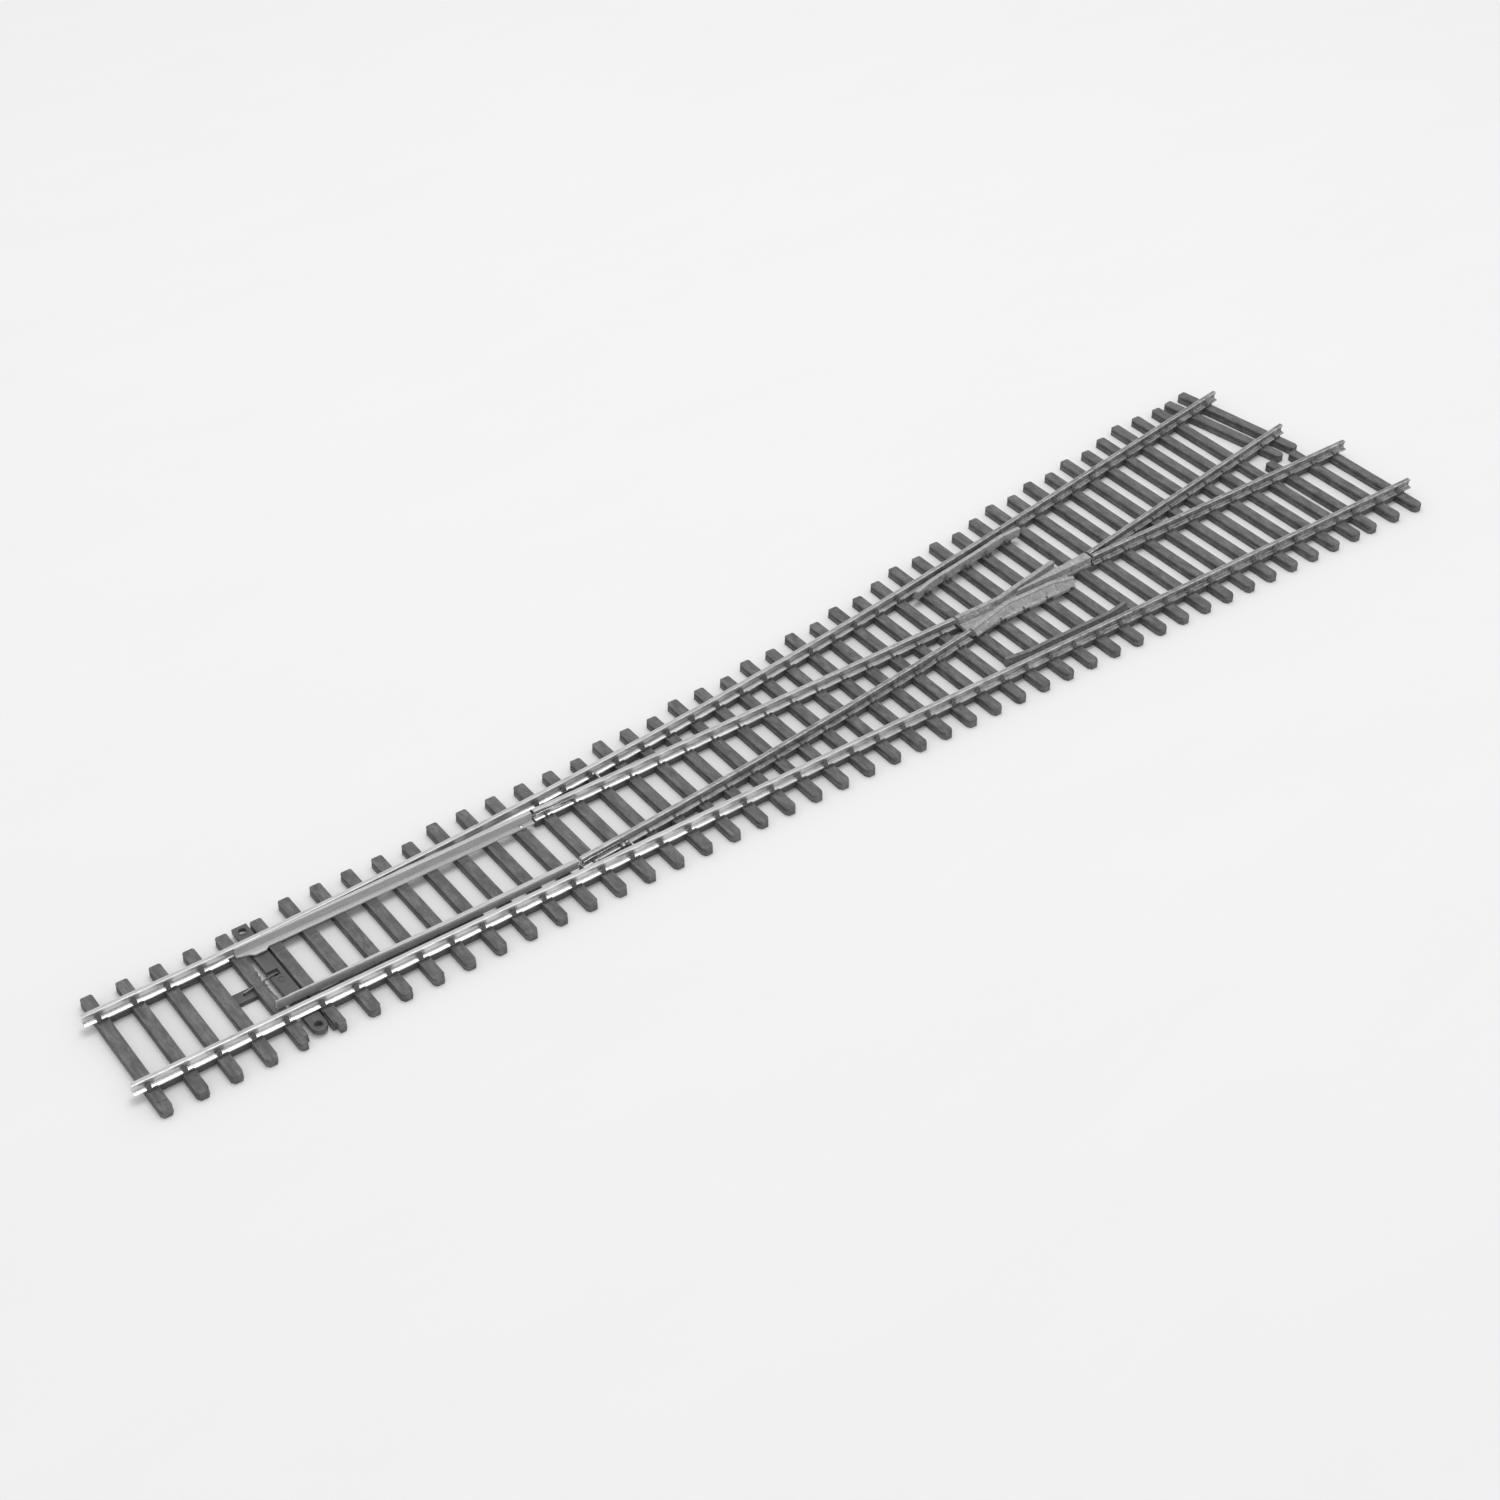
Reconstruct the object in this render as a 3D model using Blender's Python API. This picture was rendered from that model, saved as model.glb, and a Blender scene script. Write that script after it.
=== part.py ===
"""A model railway turnout, left hand, with hinged switch blades and a sliding tie bar.

The object is modelled in millimetres from two references: station is measured along the straight
route from the toe ends of the rails, and offset is measured from the straight route's centre line,
positive towards the diverging route. build() moves the whole set so that the origin lies under the
middle of its bounding box. +X runs from toe to heel, +Y to the diverging side, +Z up.
"""

import math

import bmesh
import bpy
from mathutils import Matrix, Vector

MM = 0.001

# Track
GAUGE = 16.5
HEAD_WIDTH = 0.85
RAIL_SPACING = GAUGE + HEAD_WIDTH
HALF_SPACING = RAIL_SPACING / 2
GAUGE_FACE = GAUGE / 2
LENGTH = 274.4
FLANGEWAY = 1.2

# Middle of the bounding box, moved to the origin
CENTRE_STATION = LENGTH / 2
CENTRE_OFFSET = 14.47

# Levels above the underside
SLEEPER_TOP = 1.6
RAIL_SEAT = 1.65
RAIL_TOP = 3.5
BLADE_SEAT = 1.68
FOOT_TOP = RAIL_SEAT + 0.4
HEAD_UNDERSIDE = RAIL_TOP - 0.55

# Rail section
FOOT_WIDTH = 1.8
FOOT_EDGE = 0.22
WEB_WIDTH = 0.45
HEAD_FILLET = 0.12
CLEARANCE = 0.05

# Diverging route: a bend at the blade toe, an arc and a straight
BEND_STATION = 21.1
BEND_SLOPE = 0.0212
CURVE_RADIUS = 1150.0
CURVE_END = 194.0
FAR_RAIL_HEEL = 266.6
DIVERGING_HEEL = 268.6

# Sleepers
SLEEPER_WIDTH = 2.15
SLEEPER_PITCH = 5.695
SLEEPER_NEAR_END = -14.55
SLEEPER_FAR_END = 14.15
SLEEPER_STEP = 1.75
END_CHAMFER = 0.45
TOE_SLEEPERS = (1.75, 7.65, 13.25, 19.0, 24.65)
FIRST_AFTER_TIE_BAR = 30.75
FIRST_REGULAR_STATION = 36.65
REGULAR_SLEEPERS = 39
SLEEPERS_PER_STEP = (6, 5, 6, 3, 3, 2, 2, 2, 1, 2, 2, 1, 2, 2, 2, 1, 3)
HEEL_SLEEPERS = ((257.7, 13.9), (264.2, 13.9), (270.3, 10.6))
SKEW_SLEEPERS = ((256.8, 42.5, 261.5, 14.2), (261.6, 43.4, 266.0, 14.7))
STRIP_WIDTH = 1.1
STRIP_BASE = 0.15
STRIP_TOP = 1.25

# Switch
BLADE_TOE = 25.4
BLADE_HEEL = 80.2
PIVOT_STATION = 77.8
TIE_BAR_STATION = 29.1
TIE_BAR_WIDTH = 2.6
TIE_BAR_NEAR_END = -13.5
TIE_BAR_FAR_END = 14.45
TIE_BAR_FLOOR = 0.45
TIE_BAR_TOP = 1.45
TIE_BAR_TRAVEL = 2.1
THROW_ANGLE = TIE_BAR_TRAVEL / (PIVOT_STATION - TIE_BAR_STATION)
BLADE_THICKNESS = 0.5
BLADE_HEAD = 0.8
TOE_THICKNESS = 0.2
FULL_THICKNESS = 56.0
TOE_STAND_OFF = 0.23
RELIEF_START = BLADE_TOE - 1.2
RELIEF_END = 70.0
RELIEF_OVERLAP = 0.02
FLANGE_WIDTH = 0.9
FLANGE_THICKNESS = 0.3
LUG_WIDTH = 1.5
RIVET_INSET = 0.45
PIN_RADIUS = 0.26
PIN_HOLE_RADIUS = 0.42

# Over-centre spring
SPRING_STATION = 23.0
SPRING_OFFSET = 0.7
SPRING_SWING = TIE_BAR_TRAVEL / 2
SPRING_WIRE = 0.18
SPRING_LEVEL = 1.25
SPRING_SEAT = 0.9

# Closure rails, frog and heel rails
CLOSURE_START = 80.75
CLOSURE_END = 171.8
FROG_START = 172.4
FROG_END = 205.3
HEEL_START = 205.9
KNUCKLE = 182.5
NOSE = 187.0
NOSE_WIDTH = 0.3
VEE_WIDTH = 2.0
FAR_WING_END = 198.6
FAR_WING_OFFSET = 11.65
NEAR_WING_END = 198.3
WING_FLARE = 4.8
FROG_FLOOR = 2.3
FROG_FLOOR_NEAR = 4.35
CHECK_START = 171.6
CHECK_END = 200.8
CHECK_FLARE = 4.5
CHECK_FLARE_OFFSET = 0.65
CLIP_INSET = 0.2
CLIP_LENGTH = 7.5
CLIP_THICKNESS = 0.3
CLIP_GAP = 0.08
BOND_STATION = 95.0

PARTS = "model_turnout_switch"
CUTTERS = "model_turnout_switch_cutters"

STEEL = (0.62, 0.62, 0.61)
WORN_STEEL = (0.42, 0.42, 0.41)
BLADE_STEEL = (0.5, 0.5, 0.49)
CAST_METAL = (0.55, 0.55, 0.54)
SLEEPER_PLASTIC = (0.06, 0.058, 0.055)
SPRING_STEEL = (0.2, 0.2, 0.2)


def clear_scene():
    for item in list(bpy.data.objects):
        bpy.data.objects.remove(item, do_unlink=True)
    for name in (PARTS, CUTTERS):
        if name not in bpy.data.collections:
            collection = bpy.data.collections.new(name)
            bpy.context.scene.collection.children.link(collection)


def material(name, colour, roughness, metallic):
    """Return a Principled material in one plain colour."""
    made = bpy.data.materials.new(name)
    made.use_nodes = True
    shader = made.node_tree.nodes["Principled BSDF"]
    shader.inputs["Base Color"].default_value = (*colour, 1.0)
    shader.inputs["Roughness"].default_value = roughness
    shader.inputs["Metallic"].default_value = metallic
    made.diffuse_color = (*colour, 1.0)
    return made


def far_rail_offset(station):
    """Offset of the far stock rail's centre line at a station."""
    if station <= BEND_STATION:
        return HALF_SPACING
    run = min(station, CURVE_END) - BEND_STATION
    offset = HALF_SPACING + BEND_SLOPE * run + run * run / (2 * CURVE_RADIUS)
    return offset + far_rail_slope(station) * max(0.0, station - CURVE_END)


def far_rail_slope(station):
    """Slope of the far stock rail, which every diverging rail shares."""
    if station <= BEND_STATION:
        return 0.0
    return BEND_SLOPE + (min(station, CURVE_END) - BEND_STATION) / CURVE_RADIUS


def inner_rail_point(station, inward=RAIL_SPACING):
    """Point on a line that runs inward of the far stock rail, square to it."""
    angle = math.atan(far_rail_slope(station))
    across = far_rail_offset(station) - inward * math.cos(angle)
    return station + inward * math.sin(angle), across


def inner_rail_offset(station, inward=RAIL_SPACING):
    """Offset of that line at a station, found by stepping back along the curve."""
    source = station
    for _ in range(6):
        source += station - inner_rail_point(source, inward)[0]
    return inner_rail_point(source, inward)[1]


def diverging_line(start, end, inward=0.0, step=11.0):
    """Points along a diverging rail between two stations, finer on the curve."""
    curve_start = max(start, BEND_STATION)
    curve_end = min(end, CURVE_END)
    stations = [start] if start < curve_start else []
    count = max(1, math.ceil((curve_end - curve_start) / step)) if curve_end > curve_start else 0
    for index in range(count + 1 if count else 0):
        stations.append(curve_start + (curve_end - curve_start) * index / count)
    if end > max(start, curve_end):
        stations += [end] if stations else [start, end]
    return [(station, inner_rail_offset(station, inward)) for station in stations]


def straight_line(start, end, offset):
    return [(start, offset), (end, offset)]


def shifted(points, across):
    """Points moved sideways, square to the line they follow."""
    moved = []
    for index, point in enumerate(points):
        before = Vector(points[max(0, index - 1)])
        after = Vector(points[min(len(points) - 1, index + 1)])
        along = (after - before).normalized()
        moved.append((point[0] - along.y * across, point[1] + along.x * across))
    return moved


def add_object(name, mesh, group=PARTS):
    made = bpy.data.objects.new(name, mesh)
    bpy.data.collections[group].objects.link(made)
    return made


def mesh_from_curve(curve_object):
    """Turn a curve into a closed mesh with its caps welded, and remove the curve."""
    graph = bpy.context.evaluated_depsgraph_get()
    mesh = bpy.data.meshes.new_from_object(curve_object.evaluated_get(graph))
    mesh.name = curve_object.name
    work = bmesh.new()
    work.from_mesh(mesh)
    bmesh.ops.remove_doubles(work, verts=work.verts, dist=0.002 * MM)
    bmesh.ops.recalc_face_normals(work, faces=work.faces)
    work.to_mesh(mesh)
    work.free()
    name = curve_object.name
    place = curve_object.matrix_world.copy()
    bpy.data.objects.remove(curve_object, do_unlink=True)
    made = add_object(name, mesh)
    made.matrix_world = place
    return made


def plate(name, outline, base, top):
    """A flat outline in millimetres, given thickness between two levels."""
    curve = bpy.data.curves.new(name, "CURVE")
    curve.dimensions = "2D"
    curve.fill_mode = "BOTH"
    curve.extrude = (top - base) / 2 * MM
    spline = curve.splines.new("POLY")
    spline.points.add(len(outline) - 1)
    for point, (x, y) in zip(spline.points, outline):
        point.co = (x * MM, y * MM, 0.0, 1.0)
    spline.use_cyclic_u = True
    drawn = add_object(name, curve)
    drawn.location.z = (base + top) / 2 * MM
    bpy.context.view_layer.update()
    return mesh_from_curve(drawn)


def sweep(name, path, section):
    """A closed section, across and up in millimetres, carried along a level path."""
    profile = bpy.data.curves.new(name + "_section", "CURVE")
    profile.dimensions = "2D"
    outline = profile.splines.new("POLY")
    outline.points.add(len(section) - 1)
    for point, (across, up) in zip(outline.points, section):
        point.co = (across * MM, up * MM, 0.0, 1.0)
    outline.use_cyclic_u = True
    guide = add_object(name + "_section", profile, CUTTERS)
    curve = bpy.data.curves.new(name, "CURVE")
    curve.dimensions = "3D"
    curve.twist_mode = "Z_UP"
    curve.bevel_mode = "OBJECT"
    curve.bevel_object = guide
    curve.use_fill_caps = True
    spline = curve.splines.new("POLY")
    spline.points.add(len(path) - 1)
    for point, (x, y) in zip(spline.points, path):
        point.co = (x * MM, y * MM, 0.0, 1.0)
    drawn = add_object(name, curve)
    bpy.context.view_layer.update()
    made = mesh_from_curve(drawn)
    bpy.data.objects.remove(guide, do_unlink=True)
    return made


def wire(name, points, radius):
    """A round wire through a list of points in millimetres."""
    curve = bpy.data.curves.new(name, "CURVE")
    curve.dimensions = "3D"
    curve.bevel_depth = radius * MM
    curve.bevel_resolution = 2
    curve.use_fill_caps = True
    spline = curve.splines.new("POLY")
    spline.points.add(len(points) - 1)
    for point, place in zip(spline.points, points):
        point.co = (*(value * MM for value in place), 1.0)
    drawn = add_object(name, curve)
    bpy.context.view_layer.update()
    return shade_round(mesh_from_curve(drawn))


def cylinder(name, centre, radius, base, top, segments=20):
    """An upright cylinder between two levels."""
    work = bmesh.new()
    bmesh.ops.create_cone(
        work,
        cap_ends=True,
        segments=segments,
        radius1=radius * MM,
        radius2=radius * MM,
        depth=(top - base) * MM,
        matrix=Matrix.Translation(Vector((centre[0], centre[1], (base + top) / 2)) * MM),
    )
    mesh = bpy.data.meshes.new(name)
    work.to_mesh(mesh)
    work.free()
    return shade_round(add_object(name, mesh))


def box(name, low, high):
    """A box between two corners in millimetres."""
    size = [(high[axis] - low[axis]) * MM for axis in range(3)]
    middle = [(high[axis] + low[axis]) / 2 * MM for axis in range(3)]
    work = bmesh.new()
    place = Matrix.Translation(middle) @ Matrix.Diagonal((*size, 1.0))
    bmesh.ops.create_cube(work, size=1.0, matrix=place)
    mesh = bpy.data.meshes.new(name)
    work.to_mesh(mesh)
    work.free()
    return add_object(name, mesh)


def shade_round(item):
    item.data.shade_smooth()
    item.data.set_sharp_from_angle(angle=math.radians(35))
    return item


def apply_boolean(target, tool, operation):
    """Join a tool to the target or cut it away, and remove the tool."""
    modifier = target.modifiers.new(operation, "BOOLEAN")
    modifier.operation = operation
    modifier.solver = "EXACT"
    modifier.object = tool
    bpy.context.view_layer.update()
    graph = bpy.context.evaluated_depsgraph_get()
    mesh = bpy.data.meshes.new_from_object(target.evaluated_get(graph))
    target.modifiers.remove(modifier)
    target.data = mesh
    bpy.data.objects.remove(tool, do_unlink=True)
    return target


def join(target, tool):
    return apply_boolean(target, tool, "UNION")


def cut(target, tool):
    return apply_boolean(target, tool, "DIFFERENCE")


def clean(item):
    """Merge flat neighbours and weld stray points left by the cuts."""
    work = bmesh.new()
    work.from_mesh(item.data)
    bmesh.ops.remove_doubles(work, verts=work.verts, dist=0.002 * MM)
    bmesh.ops.dissolve_limit(
        work, angle_limit=math.radians(0.2), verts=work.verts, edges=work.edges
    )
    work.to_mesh(item.data)
    work.free()
    return item


def rail_section():
    """The flat-bottomed rail section as a closed outline."""
    head = HEAD_WIDTH / 2
    web = WEB_WIDTH / 2
    foot = FOOT_WIDTH / 2
    right = [
        (foot, RAIL_SEAT),
        (foot, RAIL_SEAT + FOOT_EDGE),
        (web, FOOT_TOP),
        (web, HEAD_UNDERSIDE),
        (head, HEAD_UNDERSIDE + HEAD_FILLET),
        (head, RAIL_TOP),
    ]
    return right + [(-across, up) for across, up in reversed(right)]


def sleeper(name, station, near_end, far_end, near_station=None):
    """One sleeper with chamfered ends; near_station differs on a skewed one."""
    near_station = station if near_station is None else near_station
    half = SLEEPER_WIDTH / 2
    start = Vector((near_station + half, near_end))
    finish = Vector((station + half, far_end))
    along = (finish - start).normalized()
    side = Vector((along.y, -along.x)) * half
    inset = along * END_CHAMFER * 1.5
    nip = side * (1 - END_CHAMFER / half)
    outline = [
        start + side + inset,
        finish + side - inset,
        finish + nip,
        finish - nip,
        finish - side - inset,
        start - side + inset,
        start - nip,
        start + nip,
    ]
    return plate(name, [(point.x, point.y) for point in outline], 0.0, SLEEPER_TOP)


def sleeper_list():
    """Every sleeper as station, near end, far end and near station."""
    stations = list(TOE_SLEEPERS) + [FIRST_AFTER_TIE_BAR]
    stations += [FIRST_REGULAR_STATION + SLEEPER_PITCH * index for index in range(REGULAR_SLEEPERS)]
    far_ends = []
    for step, count in enumerate(SLEEPERS_PER_STEP):
        far_ends += [SLEEPER_FAR_END + SLEEPER_STEP * step] * count
    placed = [(s, SLEEPER_NEAR_END, far, s) for s, far in zip(stations, far_ends)]
    placed += [(s, SLEEPER_NEAR_END, far, s) for s, far in HEEL_SLEEPERS]
    placed += [(far_s, near, far, near_s) for far_s, far, near_s, near in SKEW_SLEEPERS]
    return placed


def strip(name, path, inset=0.0):
    """A moulded strip under a rail that ties the sleepers together, a little thinner by inset."""
    half = STRIP_WIDTH / 2
    base = STRIP_BASE + inset
    top = STRIP_TOP - inset
    section = [(-half, base), (half, base), (half, top), (-half, top)]
    return sweep(name, path, section)


def sleeper_base():
    """All sleepers, the strips between them and the spring seat, as one moulding."""
    first, last = TOE_SLEEPERS[0] + 1, HEEL_SLEEPERS[-1][0] + 1
    base = strip("sleeper_base", straight_line(first, last, -HALF_SPACING))
    runs = [
        (diverging_line(first, SKEW_SLEEPERS[-1][0] + 1.2), 0.03),
        (straight_line(PIVOT_STATION, last, HALF_SPACING), 0.0),
        (diverging_line(PIVOT_STATION, SKEW_SLEEPERS[-1][2] - 1.0, RAIL_SPACING), 0.06),
    ]
    for index, (station, near, far, near_station) in enumerate(sleeper_list()):
        join(base, sleeper(f"sleeper_{index + 1:02d}", station, near, far, near_station))
    for index, (run, inset) in enumerate(runs):
        join(base, strip(f"strip_{index}", run, inset))
    seat_low = (TOE_SLEEPERS[3] + 1, SPRING_OFFSET - 1.3, 0.0)
    seat_high = (TOE_SLEEPERS[4] + 1, SPRING_OFFSET + 0.9, SPRING_SEAT)
    join(base, box("spring_seat", seat_low, seat_high))
    slot_low = (TOE_SLEEPERS[4] + SLEEPER_WIDTH, -20.0, TIE_BAR_FLOOR - 0.1)
    slot_high = (FIRST_AFTER_TIE_BAR, 20.0, 2.0)
    cut(base, box("tie_bar_slot", slot_low, slot_high))
    groove_low = (TOE_SLEEPERS[4] - 0.4, SPRING_OFFSET - 0.95, SPRING_SEAT)
    groove_high = (TOE_SLEEPERS[4] + SLEEPER_WIDTH + 0.4, SPRING_OFFSET + 0.95, 2.0)
    cut(base, box("spring_groove", groove_low, groove_high))
    seat = (SPRING_STATION, SPRING_OFFSET)
    cut(base, cylinder("spring_hole", seat, SPRING_WIRE + 0.12, 0.3, 2.0, 16))
    for point in (far_pivot(), near_pivot()):
        cut(base, cylinder("pivot_hole", point, PIN_RADIUS + CLEARANCE, 0.5, 2.0, 16))
    return clean(base)


def stock_rail(name, path, foot_relief):
    """A stock rail whose inner foot is planed off where the blade lies against it."""
    rail = sweep(name, path, rail_section())
    return cut(rail, foot_relief)


def near_stock_rail():
    path = straight_line(0.0, LENGTH, -HALF_SPACING)
    relief = box(
        "near_foot_relief",
        (RELIEF_START, -GAUGE_FACE - RELIEF_OVERLAP, 1.0),
        (RELIEF_END, -GAUGE_FACE + 1.0, FOOT_TOP + 0.2),
    )
    return stock_rail("near_stock_rail", path, relief)


def far_stock_rail():
    path = diverging_line(0.0, FAR_RAIL_HEEL)
    inner = HEAD_WIDTH / 2 - RELIEF_OVERLAP
    section = [
        (inner, 1.0),
        (inner + 1.0, 1.0),
        (inner + 1.0, FOOT_TOP + 0.2),
        (inner, FOOT_TOP + 0.2),
    ]
    line = diverging_line(RELIEF_START, RELIEF_END)
    relief = sweep("far_foot_relief", line, section)
    return stock_rail("far_stock_rail", path, relief)


def far_gauge_line():
    """Gauge face of the far blade: from the closure rail to the stock rail."""
    heel = (BLADE_HEEL, GAUGE_FACE)
    toe_face = far_rail_offset(BLADE_TOE) - HEAD_WIDTH / 2
    return (BLADE_TOE, toe_face - TOE_STAND_OFF), heel


def near_gauge_line():
    """Gauge face of the near blade when it lies against the near stock rail."""
    heel = (BLADE_HEEL, inner_rail_offset(BLADE_HEEL, RAIL_SPACING) + HEAD_WIDTH / 2)
    return (BLADE_TOE, -GAUGE_FACE + TOE_STAND_OFF), heel


def line_offset(line, station):
    (x0, y0), (x1, y1) = line
    return y0 + (y1 - y0) * (station - x0) / (x1 - x0)


def far_pivot():
    return PIVOT_STATION, line_offset(far_gauge_line(), PIVOT_STATION) - RIVET_INSET


def near_pivot():
    return PIVOT_STATION, line_offset(near_gauge_line(), PIVOT_STATION) + RIVET_INSET


def pin_offset(line, inward):
    """Offset of the drive pin on a blade, on the lug inside its flange."""
    return line_offset(line, TIE_BAR_STATION) + inward * LUG_WIDTH * 0.55


def blade_half(name, line, outward, thickness, base, top):
    """An upright sheet along the gauge line, thinned to an edge at the toe."""
    (toe_x, toe_y), (heel_x, heel_y) = line
    outline = [
        (toe_x, toe_y),
        (heel_x, heel_y),
        (heel_x, heel_y + outward * thickness),
        (FULL_THICKNESS, line_offset(line, FULL_THICKNESS) + outward * thickness),
        (toe_x, toe_y + outward * TOE_THICKNESS),
    ]
    return plate(name, outline, base, top)


def blade(name, line, outward):
    """A folded blade: running edge, upright sheet and the flange that slides on the sleepers."""
    (toe_x, toe_y), (heel_x, heel_y) = line
    item = blade_half(name, line, outward, BLADE_THICKNESS, BLADE_SEAT, RAIL_TOP)
    join(item, blade_half("running_edge", line, outward, BLADE_HEAD, HEAD_UNDERSIDE, RAIL_TOP))
    inward = -outward
    overlap = outward * 0.1
    lug = (TIE_BAR_STATION - 0.9, TIE_BAR_STATION + 0.9)
    flange = [
        (toe_x + 0.05, toe_y + overlap),
        (heel_x, heel_y + overlap),
        (heel_x, heel_y + inward * FLANGE_WIDTH),
        (lug[1] + 0.8, line_offset(line, lug[1] + 0.8) + inward * FLANGE_WIDTH),
        (lug[1], line_offset(line, lug[1]) + inward * LUG_WIDTH),
        (lug[0], line_offset(line, lug[0]) + inward * LUG_WIDTH),
        (lug[0] - 0.8, line_offset(line, lug[0] - 0.8) + inward * FLANGE_WIDTH),
        (toe_x + 0.05, toe_y + inward * 0.35),
    ]
    join(item, plate("flange", flange, BLADE_SEAT, BLADE_SEAT + FLANGE_THICKNESS))
    pivot = (PIVOT_STATION, line_offset(line, PIVOT_STATION) + inward * RIVET_INSET)
    cut(item, cylinder("rivet_hole", pivot, PIN_RADIUS + CLEARANCE, 1.0, 2.4, 16))
    clean(item)
    move_origin(item, pivot)
    return item


def move_origin(item, point):
    """Put an object's origin at a point in plan without moving its shape."""
    shift = Vector((point[0], point[1], 0.0)) * MM
    item.data.transform(Matrix.Translation(item.location - shift))
    item.location = shift


def far_blade():
    return blade("far_blade", far_gauge_line(), 1)


def near_blade():
    """The near blade, drawn shut and turned away from its stock rail."""
    item = blade("near_blade", near_gauge_line(), -1)
    item.rotation_euler.z = -THROW_ANGLE
    return item


def drive_pin(name, line, inward, pivot, angle):
    """The pin under a blade's lug that drops into the tie bar."""
    top = BLADE_SEAT - 0.02
    place = (TIE_BAR_STATION, pin_offset(line, inward))
    pin = cylinder(name, place, PIN_RADIUS, TIE_BAR_FLOOR + 0.15, top, 16)
    move_origin(pin, pivot)
    pin.rotation_euler.z = angle
    return pin


def far_drive_pin():
    return drive_pin("far_drive_pin", far_gauge_line(), -1, far_pivot(), 0.0)


def near_drive_pin():
    return drive_pin("near_drive_pin", near_gauge_line(), 1, near_pivot(), -THROW_ANGLE)


def heel_rivet(name, point):
    """The rivet on which a blade turns, headed over the flange."""
    flange_top = BLADE_SEAT + FLANGE_THICKNESS
    shank = cylinder(name, point, PIN_RADIUS, 0.6, flange_top + 0.15, 16)
    head = cylinder("rivet_head", point, 0.4, flange_top + 0.03, flange_top + 0.22, 16)
    return shade_round(clean(join(shank, head)))


def tie_bar():
    """The sliding bar: a rounded near end, eyes at both ends and seats for pins and spring."""
    near_x = TIE_BAR_STATION - TIE_BAR_WIDTH / 2
    far_x = TIE_BAR_STATION + TIE_BAR_WIDTH / 2
    radius = TIE_BAR_WIDTH / 2
    centre_y = TIE_BAR_NEAR_END + radius
    outline = [(near_x, TIE_BAR_FAR_END), (near_x, centre_y)]
    for step in range(1, 8):
        angle = math.pi + math.pi * step / 8
        outline.append(
            (TIE_BAR_STATION + radius * math.cos(angle), centre_y + radius * math.sin(angle))
        )
    outline += [(far_x, centre_y), (far_x, TIE_BAR_FAR_END)]
    bar = plate("tie_bar", outline, TIE_BAR_FLOOR, TIE_BAR_TOP)
    eye_inset = 1.4
    for offset in (TIE_BAR_NEAR_END + eye_inset, TIE_BAR_FAR_END - eye_inset):
        cut(bar, cylinder("eye", (TIE_BAR_STATION, offset), 0.5, 0.0, 2.0, 20))
    near_pin = pin_offset(near_gauge_line(), 1) + TIE_BAR_TRAVEL
    for offset in (pin_offset(far_gauge_line(), -1), near_pin):
        cut(bar, cylinder("pin_hole", (TIE_BAR_STATION, offset), PIN_HOLE_RADIUS, 0.0, 2.0, 20))
    end = SPRING_OFFSET + SPRING_SWING
    pocket_low = (near_x - 1.0, end - 0.75, SPRING_SEAT)
    pocket_high = (TIE_BAR_STATION + 0.55, end + 0.75, 2.0)
    cut(bar, box("spring_pocket", pocket_low, pocket_high))
    cut(bar, cylinder("spring_eye", (TIE_BAR_STATION, end), SPRING_WIRE + 0.14, 0.0, 2.0, 16))
    return clean(bar)


def over_centre_spring():
    """A bent wire that holds the tie bar at either end of its travel."""
    reach = TIE_BAR_STATION - SPRING_STATION
    lean = math.atan2(SPRING_SWING, reach)
    length = math.hypot(reach, SPRING_SWING)
    crank = 0.32
    points = [
        (0.0, 0.0, 0.45),
        (0.0, 0.0, SPRING_LEVEL),
        (length * 0.3, 0.0, SPRING_LEVEL),
        (length * 0.38, crank, SPRING_LEVEL),
        (length * 0.46, -crank, SPRING_LEVEL),
        (length * 0.54, 0.0, SPRING_LEVEL),
        (length, 0.0, SPRING_LEVEL),
        (length, 0.0, 0.6),
    ]
    spring = wire("over_centre_spring", points, SPRING_WIRE)
    spring.location = Vector((SPRING_STATION, SPRING_OFFSET, 0.0)) * MM
    spring.rotation_euler.z = lean
    return spring


def straight_closure_rail():
    path = straight_line(CLOSURE_START, CLOSURE_END, HALF_SPACING)
    return sweep("straight_closure_rail", path, rail_section())


def curved_closure_rail():
    path = diverging_line(CLOSURE_START, CLOSURE_END, RAIL_SPACING)
    return sweep("curved_closure_rail", path, rail_section())


def heel_clip(name, path):
    """A small fishplate against the web where a blade meets its closure rail."""
    inner = WEB_WIDTH / 2 + CLEARANCE
    outer = inner + CLIP_THICKNESS
    base = FOOT_TOP + CLIP_GAP
    top = HEAD_UNDERSIDE - CLIP_GAP
    section = [(inner, base), (outer, base), (outer, top), (inner, top)]
    return sweep(name, path, section)


def far_heel_clip():
    start = CLOSURE_START + CLIP_INSET
    return heel_clip("far_heel_clip", straight_line(start, start + CLIP_LENGTH, HALF_SPACING))


def near_heel_clip():
    start = CLOSURE_START + CLIP_INSET
    path = diverging_line(start, start + CLIP_LENGTH, RAIL_SPACING)
    return heel_clip("near_heel_clip", path)


def bond_wire(name, station, low, high):
    """A wire arched across from one rail's foot to the next."""
    seat = FOOT_TOP + 0.06
    crown = seat + 0.5
    points = [
        (station, low, seat),
        (station, low, crown - 0.15),
        (station, low + 0.15, crown),
        (station, high - 0.15, crown),
        (station, high, crown - 0.15),
        (station, high, seat),
    ]
    return wire(name, points, 0.16)


def far_bond_wire():
    low = HALF_SPACING + FOOT_WIDTH / 2 - 0.22
    high = far_rail_offset(BOND_STATION) - FOOT_WIDTH / 2 + 0.22
    return bond_wire("far_bond_wire", BOND_STATION, low, high)


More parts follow.
